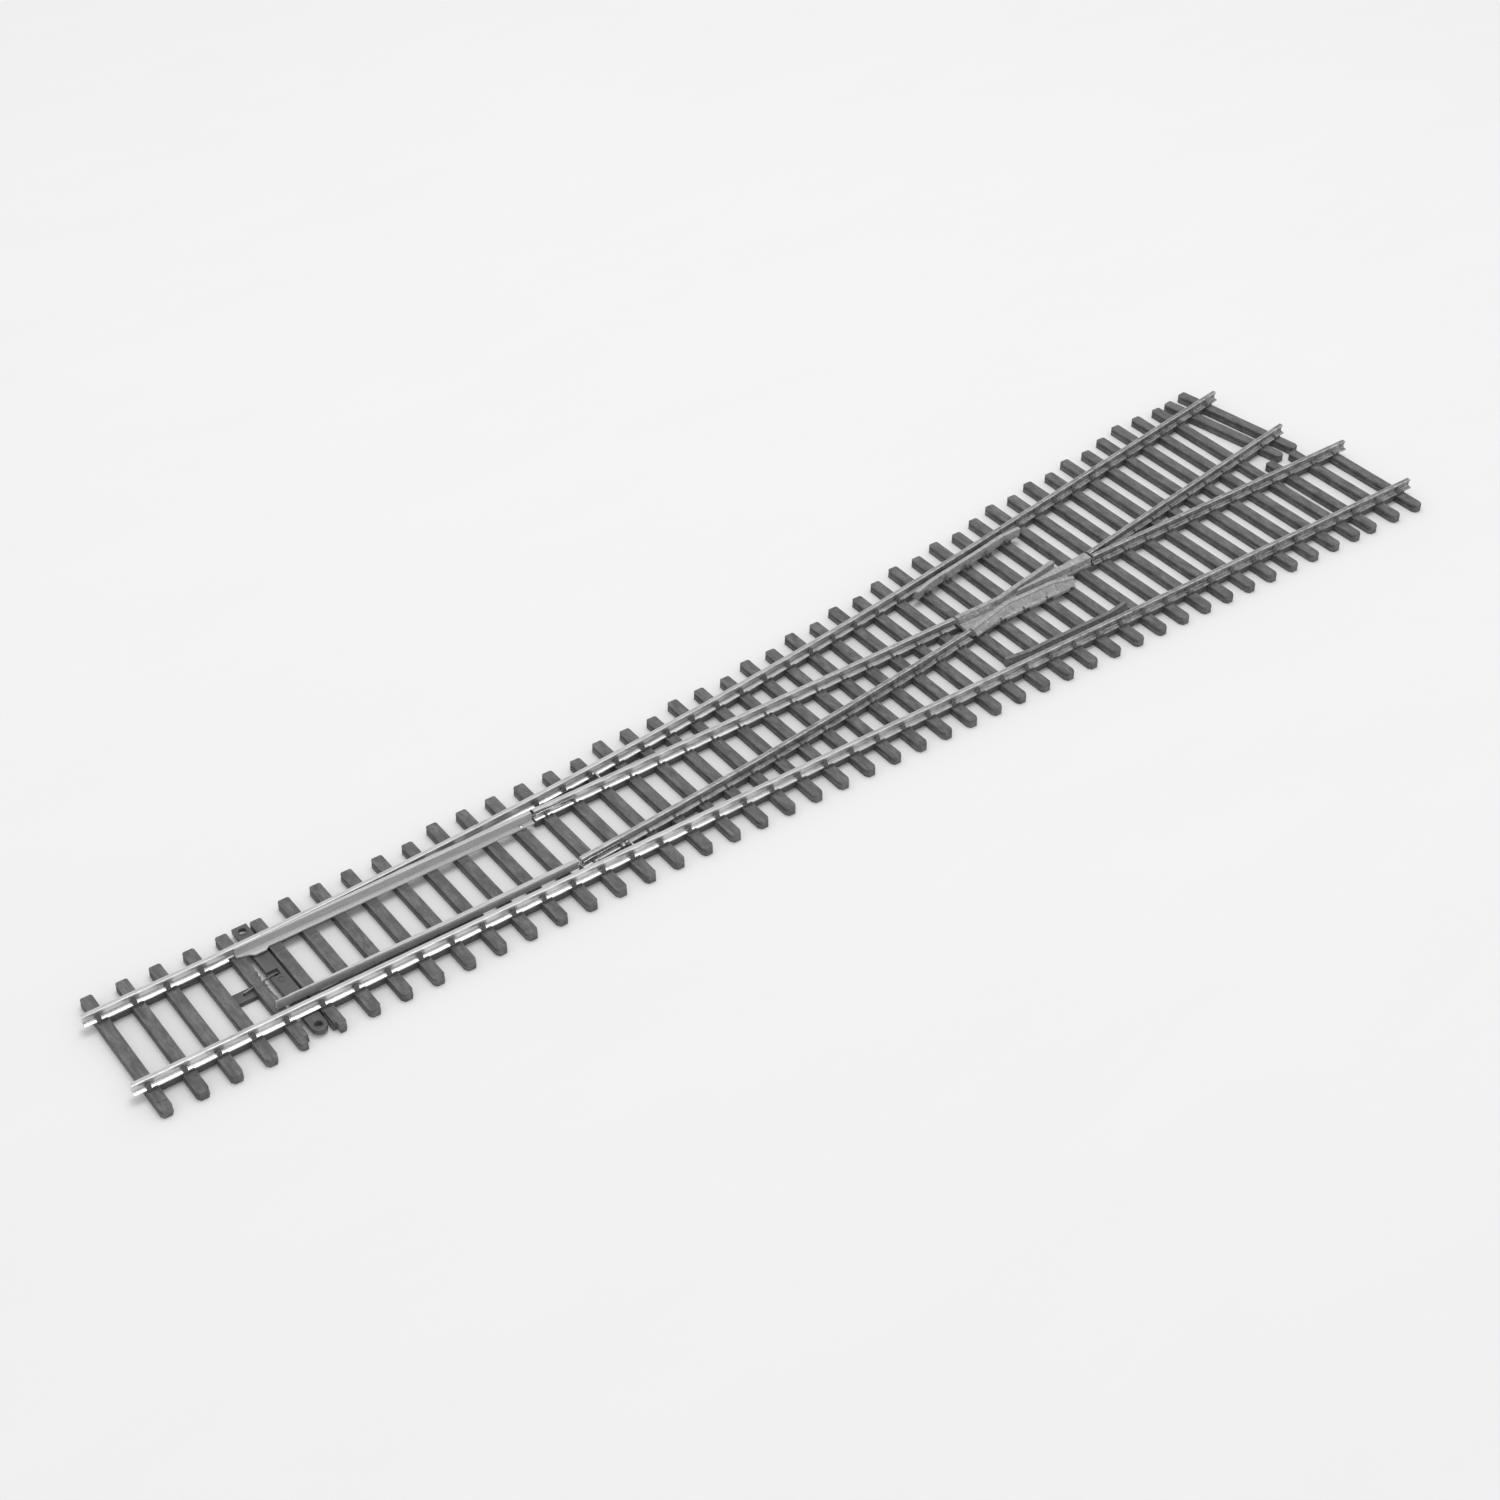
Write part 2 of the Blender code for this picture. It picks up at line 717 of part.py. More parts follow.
def near_bond_wire():
    station = BOND_STATION - 5.0
    low = -HALF_SPACING + FOOT_WIDTH / 2 - 0.22
    high = inner_rail_offset(station) - FOOT_WIDTH / 2 + 0.22
    return bond_wire("near_bond_wire", station, low, high)


def ribbon(name, path, width, base, top):
    """An upright band of even width along a line."""
    left = shifted(path, width / 2)
    right = shifted(path, -width / 2)
    return plate(name, left + right[::-1], base, top)


def frog_casting():
    """The cast crossing: floor, two wing rails and the pointed vee."""
    near_wing_line = GAUGE_FACE - FLANGEWAY - HEAD_WIDTH / 2
    far_wing = [
        (FROG_START, HALF_SPACING),
        (KNUCKLE, HALF_SPACING),
        (FAR_WING_END, FAR_WING_OFFSET),
    ]
    near_wing = [
        (FROG_START, inner_rail_offset(FROG_START)),
        (KNUCKLE, near_wing_line),
        (NEAR_WING_END - WING_FLARE, near_wing_line),
        (NEAR_WING_END, near_wing_line - FLANGEWAY),
    ]
    vee = [
        (NOSE, GAUGE_FACE + NOSE_WIDTH),
        (NOSE, GAUGE_FACE),
        (FROG_END, GAUGE_FACE),
        (FROG_END, GAUGE_FACE + VEE_WIDTH),
    ]
    far_edge = FOOT_WIDTH / 2
    floor = [
        (FROG_START + 0.1, FROG_FLOOR_NEAR - 0.35),
        (KNUCKLE, FROG_FLOOR_NEAR),
        (NEAR_WING_END - 1.6, FROG_FLOOR_NEAR),
        (NEAR_WING_END - 0.4, near_wing_line - FLANGEWAY),
        (NEAR_WING_END + 0.6, GAUGE_FACE - 0.35),
        (FROG_END - 0.1, GAUGE_FACE - 0.35),
        (FROG_END - 0.1, GAUGE_FACE + VEE_WIDTH + 0.3),
        (FAR_WING_END + 0.9, GAUGE_FACE + VEE_WIDTH),
        (FAR_WING_END - 0.2, FAR_WING_OFFSET + 0.6),
        (KNUCKLE, HALF_SPACING + far_edge),
        (FROG_START + 0.1, HALF_SPACING + far_edge),
    ]
    casting = plate("frog_casting", floor, RAIL_SEAT, FROG_FLOOR)
    lift = RAIL_SEAT + 0.2
    join(casting, ribbon("far_wing", far_wing, HEAD_WIDTH, lift, RAIL_TOP))
    join(casting, ribbon("near_wing", near_wing, HEAD_WIDTH, lift, RAIL_TOP))
    join(casting, plate("vee", vee, lift, RAIL_TOP))
    return clean(casting)


def check_rail(name, path, side):
    """A check rail beside a stock rail, its ends flared away from the running face."""
    middle = HEAD_WIDTH / 2 + FLANGEWAY + 0.35
    flare = middle + CHECK_FLARE_OFFSET
    start, end = CHECK_START, CHECK_END
    offsets = (flare, middle, middle, middle, flare)
    stations = (start, start + CHECK_FLARE, (start + end) / 2, end - CHECK_FLARE, end)
    line = [(station, path(station) + side * across) for station, across in zip(stations, offsets)]
    item = ribbon(name, line, 0.7, RAIL_SEAT, RAIL_TOP)
    foot = shifted(line, side * 0.55)
    join(item, ribbon("check_foot", foot, 0.9, RAIL_SEAT, FOOT_TOP - 0.05))
    return clean(item)


def near_check_rail():
    return check_rail("near_check_rail", lambda station: -HALF_SPACING, 1)


def far_check_rail():
    return check_rail("far_check_rail", far_rail_offset, -1)


def straight_exit_rail():
    path = straight_line(HEEL_START, LENGTH, HALF_SPACING)
    return sweep("straight_exit_rail", path, rail_section())


def diverging_exit_rail():
    """The diverging heel rail, its foot trimmed where it crowds the straight one."""
    path = diverging_line(HEEL_START, DIVERGING_HEEL, RAIL_SPACING)
    rail = sweep("diverging_exit_rail", path, rail_section())
    limit = HALF_SPACING + FOOT_WIDTH / 2 + CLEARANCE
    trim = box("foot_trim", (HEEL_START - 2, 0.0, 1.0), (HEEL_START + 14, limit, HEAD_UNDERSIDE))
    return clean(cut(rail, trim))


BUILDERS = (
    (sleeper_base, "sleeper_plastic", SLEEPER_PLASTIC, 0.7, 0.0),
    (near_stock_rail, "stock_rail_steel", STEEL, 0.3, 1.0),
    (far_stock_rail, "stock_rail_steel", STEEL, 0.3, 1.0),
    (straight_closure_rail, "closure_rail_steel", STEEL, 0.3, 1.0),
    (curved_closure_rail, "closure_rail_steel", WORN_STEEL, 0.35, 1.0),
    (straight_exit_rail, "exit_rail_steel", WORN_STEEL, 0.35, 1.0),
    (diverging_exit_rail, "exit_rail_steel", WORN_STEEL, 0.35, 1.0),
    (frog_casting, "frog_cast_metal", CAST_METAL, 0.55, 1.0),
    (near_check_rail, "check_rail_metal", WORN_STEEL, 0.45, 1.0),
    (far_check_rail, "check_rail_metal", WORN_STEEL, 0.45, 1.0),
    (far_blade, "blade_sheet_steel", BLADE_STEEL, 0.35, 1.0),
    (near_blade, "blade_sheet_steel", BLADE_STEEL, 0.35, 1.0),
    (far_drive_pin, "pin_steel", STEEL, 0.35, 1.0),
    (near_drive_pin, "pin_steel", STEEL, 0.35, 1.0),
    (lambda: heel_rivet("far_heel_rivet", far_pivot()), "rivet_steel", STEEL, 0.35, 1.0),
    (lambda: heel_rivet("near_heel_rivet", near_pivot()), "rivet_steel", STEEL, 0.35, 1.0),
    (far_heel_clip, "clip_steel", STEEL, 0.3, 1.0),
    (near_heel_clip, "clip_steel", STEEL, 0.3, 1.0),
    (far_bond_wire, "bond_wire_steel", STEEL, 0.3, 1.0),
    (near_bond_wire, "bond_wire_steel", STEEL, 0.3, 1.0),
    (tie_bar, "tie_bar_plastic", SLEEPER_PLASTIC, 0.65, 0.0),
    (over_centre_spring, "spring_wire_steel", SPRING_STEEL, 0.4, 1.0),
)


def build():
    """Make every sub-part, give it its material and centre the set on the origin."""
    clear_scene()
    for make, name, colour, roughness, metallic in BUILDERS:
        item = make()
        item.data.materials.clear()
        item.data.materials.append(material(f"{item.name}_{name}", colour, roughness, metallic))
        item.location -= Vector((CENTRE_STATION, CENTRE_OFFSET, 0.0)) * MM


if __name__ == "__main__":
    build()
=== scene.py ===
"""Finished surfaces for a model railway turnout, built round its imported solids.

Lengths in the constants are millimetres. A station is measured along the straight route from the
toe ends of the rails. An offset is measured from the straight route's centre line, and is positive
towards the diverging side. A level is measured from the underside of the sleepers.
"""

import math

import bmesh
import bpy
from bpy.props import FloatProperty, FloatVectorProperty, IntProperty, PointerProperty
from bpy.types import Operator, Panel, PropertyGroup
from mathutils import Matrix, Vector
from mathutils.geometry import intersect_line_line_2d
from mathutils.noise import noise as noise_at


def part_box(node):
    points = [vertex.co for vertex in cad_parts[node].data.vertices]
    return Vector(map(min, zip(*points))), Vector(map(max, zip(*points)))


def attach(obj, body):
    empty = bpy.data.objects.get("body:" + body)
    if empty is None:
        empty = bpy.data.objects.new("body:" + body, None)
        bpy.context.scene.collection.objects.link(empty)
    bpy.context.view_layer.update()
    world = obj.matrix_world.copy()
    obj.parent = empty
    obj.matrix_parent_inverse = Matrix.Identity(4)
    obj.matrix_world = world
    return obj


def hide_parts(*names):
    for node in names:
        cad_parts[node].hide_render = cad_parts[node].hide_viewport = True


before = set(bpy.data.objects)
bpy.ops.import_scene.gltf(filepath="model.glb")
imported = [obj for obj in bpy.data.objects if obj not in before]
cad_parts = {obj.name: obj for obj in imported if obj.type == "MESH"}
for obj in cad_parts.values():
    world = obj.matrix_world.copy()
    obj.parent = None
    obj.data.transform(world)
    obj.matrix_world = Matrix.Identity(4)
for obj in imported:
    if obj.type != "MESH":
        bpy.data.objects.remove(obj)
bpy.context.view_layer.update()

bl_info = {
    "name": "Model Turnout Finish",
    "version": (1, 0, 0),
    "blender": (4, 5, 0),
    "location": "View3D > Sidebar > Turnout",
    "description": "Builds the rails, sleepers, chairs, frog and blades of a model turnout",
    "category": "Object",
}

MM = 0.001
BODY = "track"

# Datum lines, read from the frame
TOE_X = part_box("near_stock_rail")[0].x
NEAR_RAIL_Y = (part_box("near_stock_rail")[0].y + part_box("near_stock_rail")[1].y) / 2
INNER_RAIL_Y = (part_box("straight_closure_rail")[0].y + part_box("straight_closure_rail")[1].y) / 2
CENTRE_Y = (NEAR_RAIL_Y + INNER_RAIL_Y) / 2
RAIL_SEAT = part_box("near_stock_rail")[0].z / MM
RAIL_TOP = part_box("near_stock_rail")[1].z / MM
HALF_SPACING = (INNER_RAIL_Y - NEAR_RAIL_Y) / 2 / MM
BLADE_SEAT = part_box("far_blade")[0].z / MM

# Sleepers, by station and offset
SLEEPER_PITCH = 5.695
TOE_SLEEPERS = (1.75, 7.65, 13.25, 19.0, 24.65)
FIRST_AFTER_TIE_BAR = 30.75
FIRST_REGULAR_STATION = 36.65
SLEEPERS_PER_STEP = (6, 5, 6, 3, 3, 2, 2, 2, 1, 2, 2, 1, 2, 2, 2, 1, 3)
HEEL_SLEEPERS = ((257.7, 13.9), (264.2, 13.9), (270.3, 10.6))
SKEW_SLEEPERS = (((256.8, 42.5), (261.5, 14.2)), ((261.6, 43.4), (266.0, 14.7)))
SLEEPER_NEAR_END = -14.55
SLEEPER_FAR_END = 14.15
SLEEPER_STEP = 1.75
END_CHAMFER = 0.45
FAR_END_CHAMFER = 0.28
SLEEPER_TOP = 1.6
SHORT_SLEEPER = 6.0
PLANK_GROOVE = (0.92, 1.16)

# Switch, by station and offset
TIE_BAR_SLOT = (TOE_SLEEPERS[4] + 2.3, FIRST_AFTER_TIE_BAR - 0.15)
BLADE_ZONE = (24.0, 79.5)
BLADE_BED = 2.2
BLADE_BED_END = 62.0
INNER_STRIPS_START = 80.0
FOOT_RELIEF = (24.2, 70.0)
SPRING_SEAT_TOP = 0.88
EYE_INSET = 1.4
EYE_RADIUS = 0.68
PIVOT_EYE_RADIUS = 0.42

# Crossing, by station and offset
CHECK_ZONE = (170.0, 202.5)
FROG_START = 172.6
KNUCKLE = 182.5
FROG_NEAR_EDGE = ((FROG_START, 4.0), (KNUCKLE, 4.35), (196.4, 4.35))
FROG_FAR_EDGE = ((FROG_START, 9.575), (KNUCKLE, 9.575), (198.4, 12.2))
FROG_FLOOR = 2.3
NEAR_WING_OFFSET = 6.625
NEAR_WING_FLARE = ((193.5, NEAR_WING_OFFSET), (198.1, 5.43))
FAR_WING_END = 180.5

# Heights of the chairs' plates and posts over the rail seat
CHAIR_PLATE = 0.06
RAIL_POST = 0.42
CASTING_POST = 0.75
STOCK_SPIKE_BREADTH = 1.8

# Faces narrower than this are brightened, where they are convex, partly as wear and partly as a
# painted edge highlight
NARROW_FACE = 0.1

# Stage, in metres
FLOOR_REACH = 15.0
SENSOR_WIDTH = 36.0
NEAREST_VIEW = 0.01
OVERHEAD_PLACE = (0.1, 0.1, 0.9)
OVERHEAD_SIZE = 0.45


def settings(name):
    """One of the turnout's property groups on the scene."""
    return getattr(bpy.context.scene, "turnout_" + name)


def place(station, offset, level=0.0):
    """A station, offset and level in millimetres as a point in the frame."""
    return Vector((TOE_X + station * MM, CENTRE_Y + offset * MM, level * MM))


def station_of(point):
    """A point's station in millimetres."""
    return (point[0] - TOE_X) / MM


def rail_line(node):
    """Centre line of a rail, read from the top corners of its solid, as a list of plan points."""
    corners = set()
    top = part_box(node)[1].z
    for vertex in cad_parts[node].data.vertices:
        if vertex.co.z > top - 0.01 * MM:
            corners.add((round(vertex.co.x, 6), round(vertex.co.y, 6)))
    ordered = sorted(corners)
    if len(ordered) < 4 or len(ordered) % 2:
        raise RuntimeError(f"{node} has no even pairs of head corners")
    pairs = zip(ordered[::2], ordered[1::2])
    return [(Vector(left) + Vector(right)) / 2 for left, right in pairs]


def beside(path, across):
    """A plan line moved sideways by a distance in millimetres, positive to the left."""
    moved = []
    for index, point in enumerate(path):
        along = (path[min(index + 1, len(path) - 1)] - path[max(index - 1, 0)]).normalized()
        moved.append(point + Vector((-along.y, along.x)) * across * MM)
    return moved


def between(path, start, end):
    """The part of a plan line between two stations."""
    first, last = place(start, 0).x, place(end, 0).x
    kept = []
    for before, after in zip(path, path[1:]):
        for limit in (first, last):
            if before.x < limit < after.x:
                kept.append(before.lerp(after, (limit - before.x) / (after.x - before.x)))
    kept += [point for point in path if first <= point.x <= last]
    return sorted(kept, key=lambda point: point.x)


def plan_line(points):
    """Station and offset pairs as plan points in the frame."""
    return [place(*point).to_2d() for point in points]


def sleeper_lines():
    """Every sleeper's centre line as its near and far end, in plan."""
    stations = list(TOE_SLEEPERS) + [FIRST_AFTER_TIE_BAR]
    regular = sum(SLEEPERS_PER_STEP) - len(stations)
    stations += [FIRST_REGULAR_STATION + SLEEPER_PITCH * index for index in range(regular)]
    far_ends = []
    for step, count in enumerate(SLEEPERS_PER_STEP):
        far_ends += [SLEEPER_FAR_END + SLEEPER_STEP * step] * count
    ends = [((s, SLEEPER_NEAR_END), (s, far)) for s, far in zip(stations, far_ends)]
    ends += [((s, SLEEPER_NEAR_END), (s, far)) for s, far in HEEL_SLEEPERS]
    ends += [(near, far) for far, near in SKEW_SLEEPERS]
    middle = settings("sleepers").width / 2 / MM
    lines = []
    for near, far in ends:
        lines.append(plan_line([(near[0] + middle, near[1]), (far[0] + middle, far[1])]))
    return lines


def crossing(path, sleeper):
    """Where a rail's line passes over a sleeper and the angle it runs at, or None."""
    for before, after in zip(path, path[1:]):
        hit = intersect_line_line_2d(before, after, *sleeper)
        if hit:
            along = after - before
            return hit, math.atan2(along.y, along.x)
    return None


# ---------------------------------------------------------------- node helpers


def add_node(tree, kind, inputs=None, **options):
    """Add a node, set its options, then set or link its inputs by name or number."""
    node = tree.nodes.new(kind)
    node.location = (190 * len(tree.nodes), -40 * (len(tree.nodes) % 5))
    for name, value in options.items():
        setattr(node, name, value)
    for key, value in (inputs or {}).items():
        if isinstance(value, bpy.types.NodeSocket):
            tree.links.new(value, node.inputs[key])
        else:
            node.inputs[key].default_value = value
    return node


def add_sockets(tree, inputs, outputs):
    """Give a node group its named sockets; inputs are name, socket type and default."""
    for name, kind, default in inputs:
        socket = tree.interface.new_socket(name=name, in_out="INPUT", socket_type=kind)
        if default is not None:
            socket.default_value = default
    for name, kind in outputs:
        tree.interface.new_socket(name=name, in_out="OUTPUT", socket_type=kind)


def shader_group(name, inputs, outputs):
    """A shader node group and its input sockets, or None for those if it exists already."""
    if name in bpy.data.node_groups:
        return bpy.data.node_groups[name], None
    tree = bpy.data.node_groups.new(name, "ShaderNodeTree")
    add_sockets(tree, inputs, outputs)
    return tree, tree.nodes.new("NodeGroupInput").outputs


def math_node(tree, operation, first, second, clamp=False):
    """The result of a sum of two values."""
    node = add_node(
        tree, "ShaderNodeMath", {0: first, 1: second}, operation=operation, use_clamp=clamp
    )
    return node.outputs[0]


# ---------------------------------------------------------------- shader groups


def grain_group():
    """Fine lines that run one way: wood grain in plastic, or drawing lines on metal."""
    tree, given = shader_group(
        "turnout_grain",
        [
            ("Vector", "NodeSocketVector", None),
            ("Lines", "NodeSocketVector", (5.0, 0.5, 5.0)),
            ("Waviness", "NodeSocketFloat", 0.4),
        ],
        [("Mask", "NodeSocketFloat"), ("Height", "NodeSocketFloat")],
    )
    if given is None:
        return tree
    drawn = add_node(
        tree,
        "ShaderNodeVectorMath",
        {0: given["Vector"], 1: given["Lines"]},
        operation="MULTIPLY",
    ).outputs[0]
    coarse = add_node(
        tree,
        "ShaderNodeTexNoise",
        {"Vector": drawn, "Scale": 1.0, "Detail": 5.0, "Distortion": given["Waviness"]},
    ).outputs["Fac"]
    fine = add_node(
        tree,
        "ShaderNodeTexNoise",
        {"Vector": drawn, "Scale": 3.7, "Detail": 3.0, "Roughness": 0.7},
    ).outputs["Fac"]
    mask = add_node(
        tree,
        "ShaderNodeMapRange",
        {"Value": coarse, "From Min": 0.35, "From Max": 0.65},
        interpolation_type="SMOOTHSTEP",
    ).outputs[0]
    height = math_node(tree, "ADD", math_node(tree, "MULTIPLY", fine, 0.45), coarse)
    add_node(tree, "NodeGroupOutput", {"Mask": mask, "Height": height})
    return tree


def speckle_group():
    """Small pits and grains, for cast metal and for moulded plastic."""
    tree, given = shader_group(
        "turnout_speckle",
        [
            ("Vector", "NodeSocketVector", None),
            ("Grain Size", "NodeSocketFloat", 0.15),
            ("Cover", "NodeSocketFloat", 0.5),
        ],
        [("Mask", "NodeSocketFloat"), ("Height", "NodeSocketFloat")],
    )
    if given is None:
        return tree
    scale = math_node(tree, "DIVIDE", 1.0, given["Grain Size"])
    cells = add_node(
        tree, "ShaderNodeTexVoronoi", {"Vector": given["Vector"], "Scale": scale}
    ).outputs["Distance"]
    noise = add_node(
        tree,
        "ShaderNodeTexNoise",
        {"Vector": given["Vector"], "Scale": scale, "Detail": 6.0, "Roughness": 0.65},
    ).outputs["Fac"]
    edge = math_node(tree, "SUBTRACT", noise, given["Cover"])
    mask = math_node(tree, "MULTIPLY", edge, 7.0, clamp=True)
    height = math_node(tree, "ADD", noise, math_node(tree, "MULTIPLY", cells, 0.5))
    add_node(tree, "NodeGroupOutput", {"Mask": mask, "Height": height})
    return tree


def patch_group():
    """Wide soft patches of handling marks and tarnished spots."""
    tree, given = shader_group(
        "turnout_patches",
        [
            ("Vector", "NodeSocketVector", None),
            ("Patch Length", "NodeSocketFloat", 4.0),
            ("Cover", "NodeSocketFloat", 0.5),
            ("Stretch", "NodeSocketVector", (1.0, 4.0, 4.0)),
        ],
        [("Mask", "NodeSocketFloat")],
    )
    if given is None:
        return tree
    scale = math_node(tree, "DIVIDE", 1.0, given["Patch Length"])
    stretched = add_node(
        tree,
        "ShaderNodeVectorMath",
        {0: given["Vector"], 1: given["Stretch"]},
        operation="MULTIPLY",
    ).outputs[0]
    noise = add_node(
        tree,
        "ShaderNodeTexNoise",
        {"Vector": stretched, "Scale": scale, "Detail": 7.0, "Roughness": 0.62},
    ).outputs["Fac"]
    low = math_node(tree, "SUBTRACT", given["Cover"], 0.1)
    high = math_node(tree, "ADD", given["Cover"], 0.12)
    mask = add_node(
        tree, "ShaderNodeMapRange", {"Value": noise, "From Min": low, "From Max": high}
    ).outputs[0]
    add_node(tree, "NodeGroupOutput", {"Mask": mask})
    return tree


def edge_wear_and_highlight_group():
    """Brightened edges, partly real wear and partly a painted highlight: the mask carried by the
    mesh, broken up by noise.
    """
    tree, given = shader_group(
        "turnout_edge_wear_and_highlight",
        [
            ("Vector", "NodeSocketVector", None),
            ("Wear", "NodeSocketFloat", 0.0),
            ("Amount", "NodeSocketFloat", 0.7),
        ],
        [("Mask", "NodeSocketFloat")],
    )
    if given is None:
        return tree
    noise = add_node(
        tree, "ShaderNodeTexNoise", {"Vector": given["Vector"], "Scale": 1.3, "Detail": 5.0}
    ).outputs["Fac"]
    broken = add_node(
        tree, "ShaderNodeMapRange", {"Value": noise, "From Min": 0.3, "From Max": 0.6}
    ).outputs[0]
    worn_and_lit = math_node(tree, "MULTIPLY", given["Wear"], broken)
    mask = math_node(tree, "MULTIPLY", worn_and_lit, given["Amount"], clamp=True)
    add_node(tree, "NodeGroupOutput", {"Mask": mask})
    return tree


# ---------------------------------------------------------------- materials


class Finish:
    """A material under construction: one Principled shader fed by shared groups."""

    def __init__(self, name, metallic, roughness, shade):
        self.material = bpy.data.materials.new(name)
        self.material.use_nodes = True
        self.material.diffuse_color = (*shade, 1.0)
        self.tree = self.material.node_tree
        self.shader = self.tree.nodes["Principled BSDF"]
        self.shader.inputs["Metallic"].default_value = metallic
        self.shader.inputs["Roughness"].default_value = roughness
        coordinates = add_node(self.tree, "ShaderNodeTexCoord").outputs["Object"]
        self.vector = add_node(
            self.tree, "ShaderNodeMapping", {"Vector": coordinates, "Scale": (1 / MM,) * 3}
        ).outputs[0]
        self.colour = add_node(self.tree, "ShaderNodeRGB").outputs[0]
        self.colour.default_value = (*shade, 1.0)
        self.heights = None

    def group(self, tree, **values):
        node = self.tree.nodes.new("ShaderNodeGroup")
        node.node_tree = tree
        node.location = (190 * len(self.tree.nodes), 200)
        self.tree.links.new(self.vector, node.inputs["Vector"])
        for name, value in values.items():
            socket = node.inputs[name.replace("_", " ")]
            if isinstance(value, bpy.types.NodeSocket):
                self.tree.links.new(value, socket)
            else:
                socket.default_value = value
        return node.outputs

    def attribute(self, name):
        node = self.tree.nodes.new("ShaderNodeAttribute")
        node.attribute_name = name
        return node.outputs["Fac"]

    def along(self, start, end):
        """A mask that rises from none to full between two stations."""
        station = add_node(
            self.tree, "ShaderNodeSeparateXYZ", {"Vector": self.vector}
        ).outputs["X"]
        limits = {"From Min": TOE_X / MM + start, "From Max": TOE_X / MM + end}
        return add_node(
            self.tree, "ShaderNodeMapRange", {"Value": station, **limits}
        ).outputs[0]

    def band(self, level, half_width):
        """A mask that is full at a level in millimetres and fades out above and below it."""
        height = add_node(
            self.tree, "ShaderNodeSeparateXYZ", {"Vector": self.vector}
        ).outputs["Z"]
        away = math_node(self.tree, "SUBTRACT", height, level)
        share = math_node(self.tree, "DIVIDE", away, half_width)
        distance = math_node(self.tree, "ABSOLUTE", share, 0.0)
        return math_node(self.tree, "SUBTRACT", 1.0, distance, clamp=True)

    def tint(self, mask, shade, amount=1.0):
        """Mix a shade into the colour where a mask is strong."""
        factor = math_node(self.tree, "MULTIPLY", mask, amount)
        mix = self.tree.nodes.new("ShaderNodeMix")
        mix.data_type = "RGBA"
        self.tree.links.new(factor, mix.inputs["Factor"])
        self.tree.links.new(self.colour, mix.inputs["A"])
        mix.inputs["B"].default_value = (*shade, 1.0)
        self.colour = mix.outputs["Result"]

    def brighten_edges(self, shade, share, amount):
        """Brighten the narrow convex edges, partly as wear and partly as a painted highlight, with
        a share of the mask that the mesh carries.
        """
        wear_and_highlight = self.group(edge_wear_and_highlight_group(), Wear=self.attribute("wear_and_highlight"), Amount=share)
        self.tint(wear_and_highlight["Mask"], shade, amount)

    def roughen(self, mask, low, high):
        rough = add_node(
            self.tree, "ShaderNodeMapRange", {"Value": mask, "To Min": low, "To Max": high}
        ).outputs[0]
        self.tree.links.new(rough, self.shader.inputs["Roughness"])

    def raise_surface(self, height, amount):
        scaled = math_node(self.tree, "MULTIPLY", height, amount)
        if self.heights is None:
            self.heights = scaled
        else:
            self.heights = math_node(self.tree, "ADD", self.heights, scaled)

    def done(self, depth):
        """Link the colour and the bump; depth is the height of the relief in millimetres."""
        self.tree.links.new(self.colour, self.shader.inputs["Base Color"])
        if self.heights is not None:
            bump = add_node(
                self.tree,
                "ShaderNodeBump",
                {"Height": self.heights, "Distance": depth * MM, "Strength": 1.0},
            )
            self.tree.links.new(bump.outputs["Normal"], self.shader.inputs["Normal"])
        return self.material


def grey(value):
    """A neutral grey as a colour."""
    return (value, value, value)


def scaled(colour, factor):
    """A colour made lighter or darker by a factor."""
    return tuple(min(1.0, channel * factor) for channel in colour)


def made_once(name, make):
    """Return a material by name, making it the first time it is asked for."""
    return bpy.data.materials.get(name) or make(name)


def sleeper_plastic(name):
    """Dark moulded plastic with wood grain along each sleeper."""
    colour = tuple(settings("sleepers").colour)
    finish = Finish(name, 0.0, 0.6, colour)
    grain = finish.group(grain_group(), Lines=(2.4, 0.3, 2.4), Waviness=0.8)
    speckle = finish.group(speckle_group(), Grain_Size=0.4, Cover=0.5)
    patches = finish.group(
        patch_group(), Patch_Length=2.4, Cover=0.5, Stretch=(2.0, 0.8, 2.0)
    )
    finish.tint(grain["Mask"], scaled(colour, 2.0), 0.8)
    finish.tint(speckle["Mask"], scaled(colour, 2.3), 0.5)
    finish.tint(patches["Mask"], scaled(colour, 0.45), 0.7)
    finish.tint(finish.attribute("tone"), scaled(colour, 1.6), 0.3)
    # Edges brightened, partly as wear and partly as a painted highlight
    finish.brighten_edges(scaled(colour, 2.6), 0.8, 0.8)
    finish.roughen(grain["Mask"], 0.5, 0.72)
    finish.raise_surface(grain["Height"], 1.0)
    finish.raise_surface(speckle["Height"], 0.5)
    return finish.done(0.12)


def fitting_plastic(name):
    """The same plastic on small fittings, without the grain."""
    colour = scaled(tuple(settings("sleepers").colour), 0.85)
    finish = Finish(name, 0.0, 0.5, colour)
    speckle = finish.group(speckle_group(), Grain_Size=0.18, Cover=0.52)
    finish.tint(speckle["Mask"], scaled(colour, 1.7), 0.4)
    # Edges brightened, partly as wear and partly as a painted highlight
    finish.brighten_edges(scaled(colour, 2.2), 0.8, 0.5)
    finish.roughen(speckle["Mask"], 0.42, 0.62)
    finish.raise_surface(speckle["Height"], 1.0)
    return finish.done(0.03)


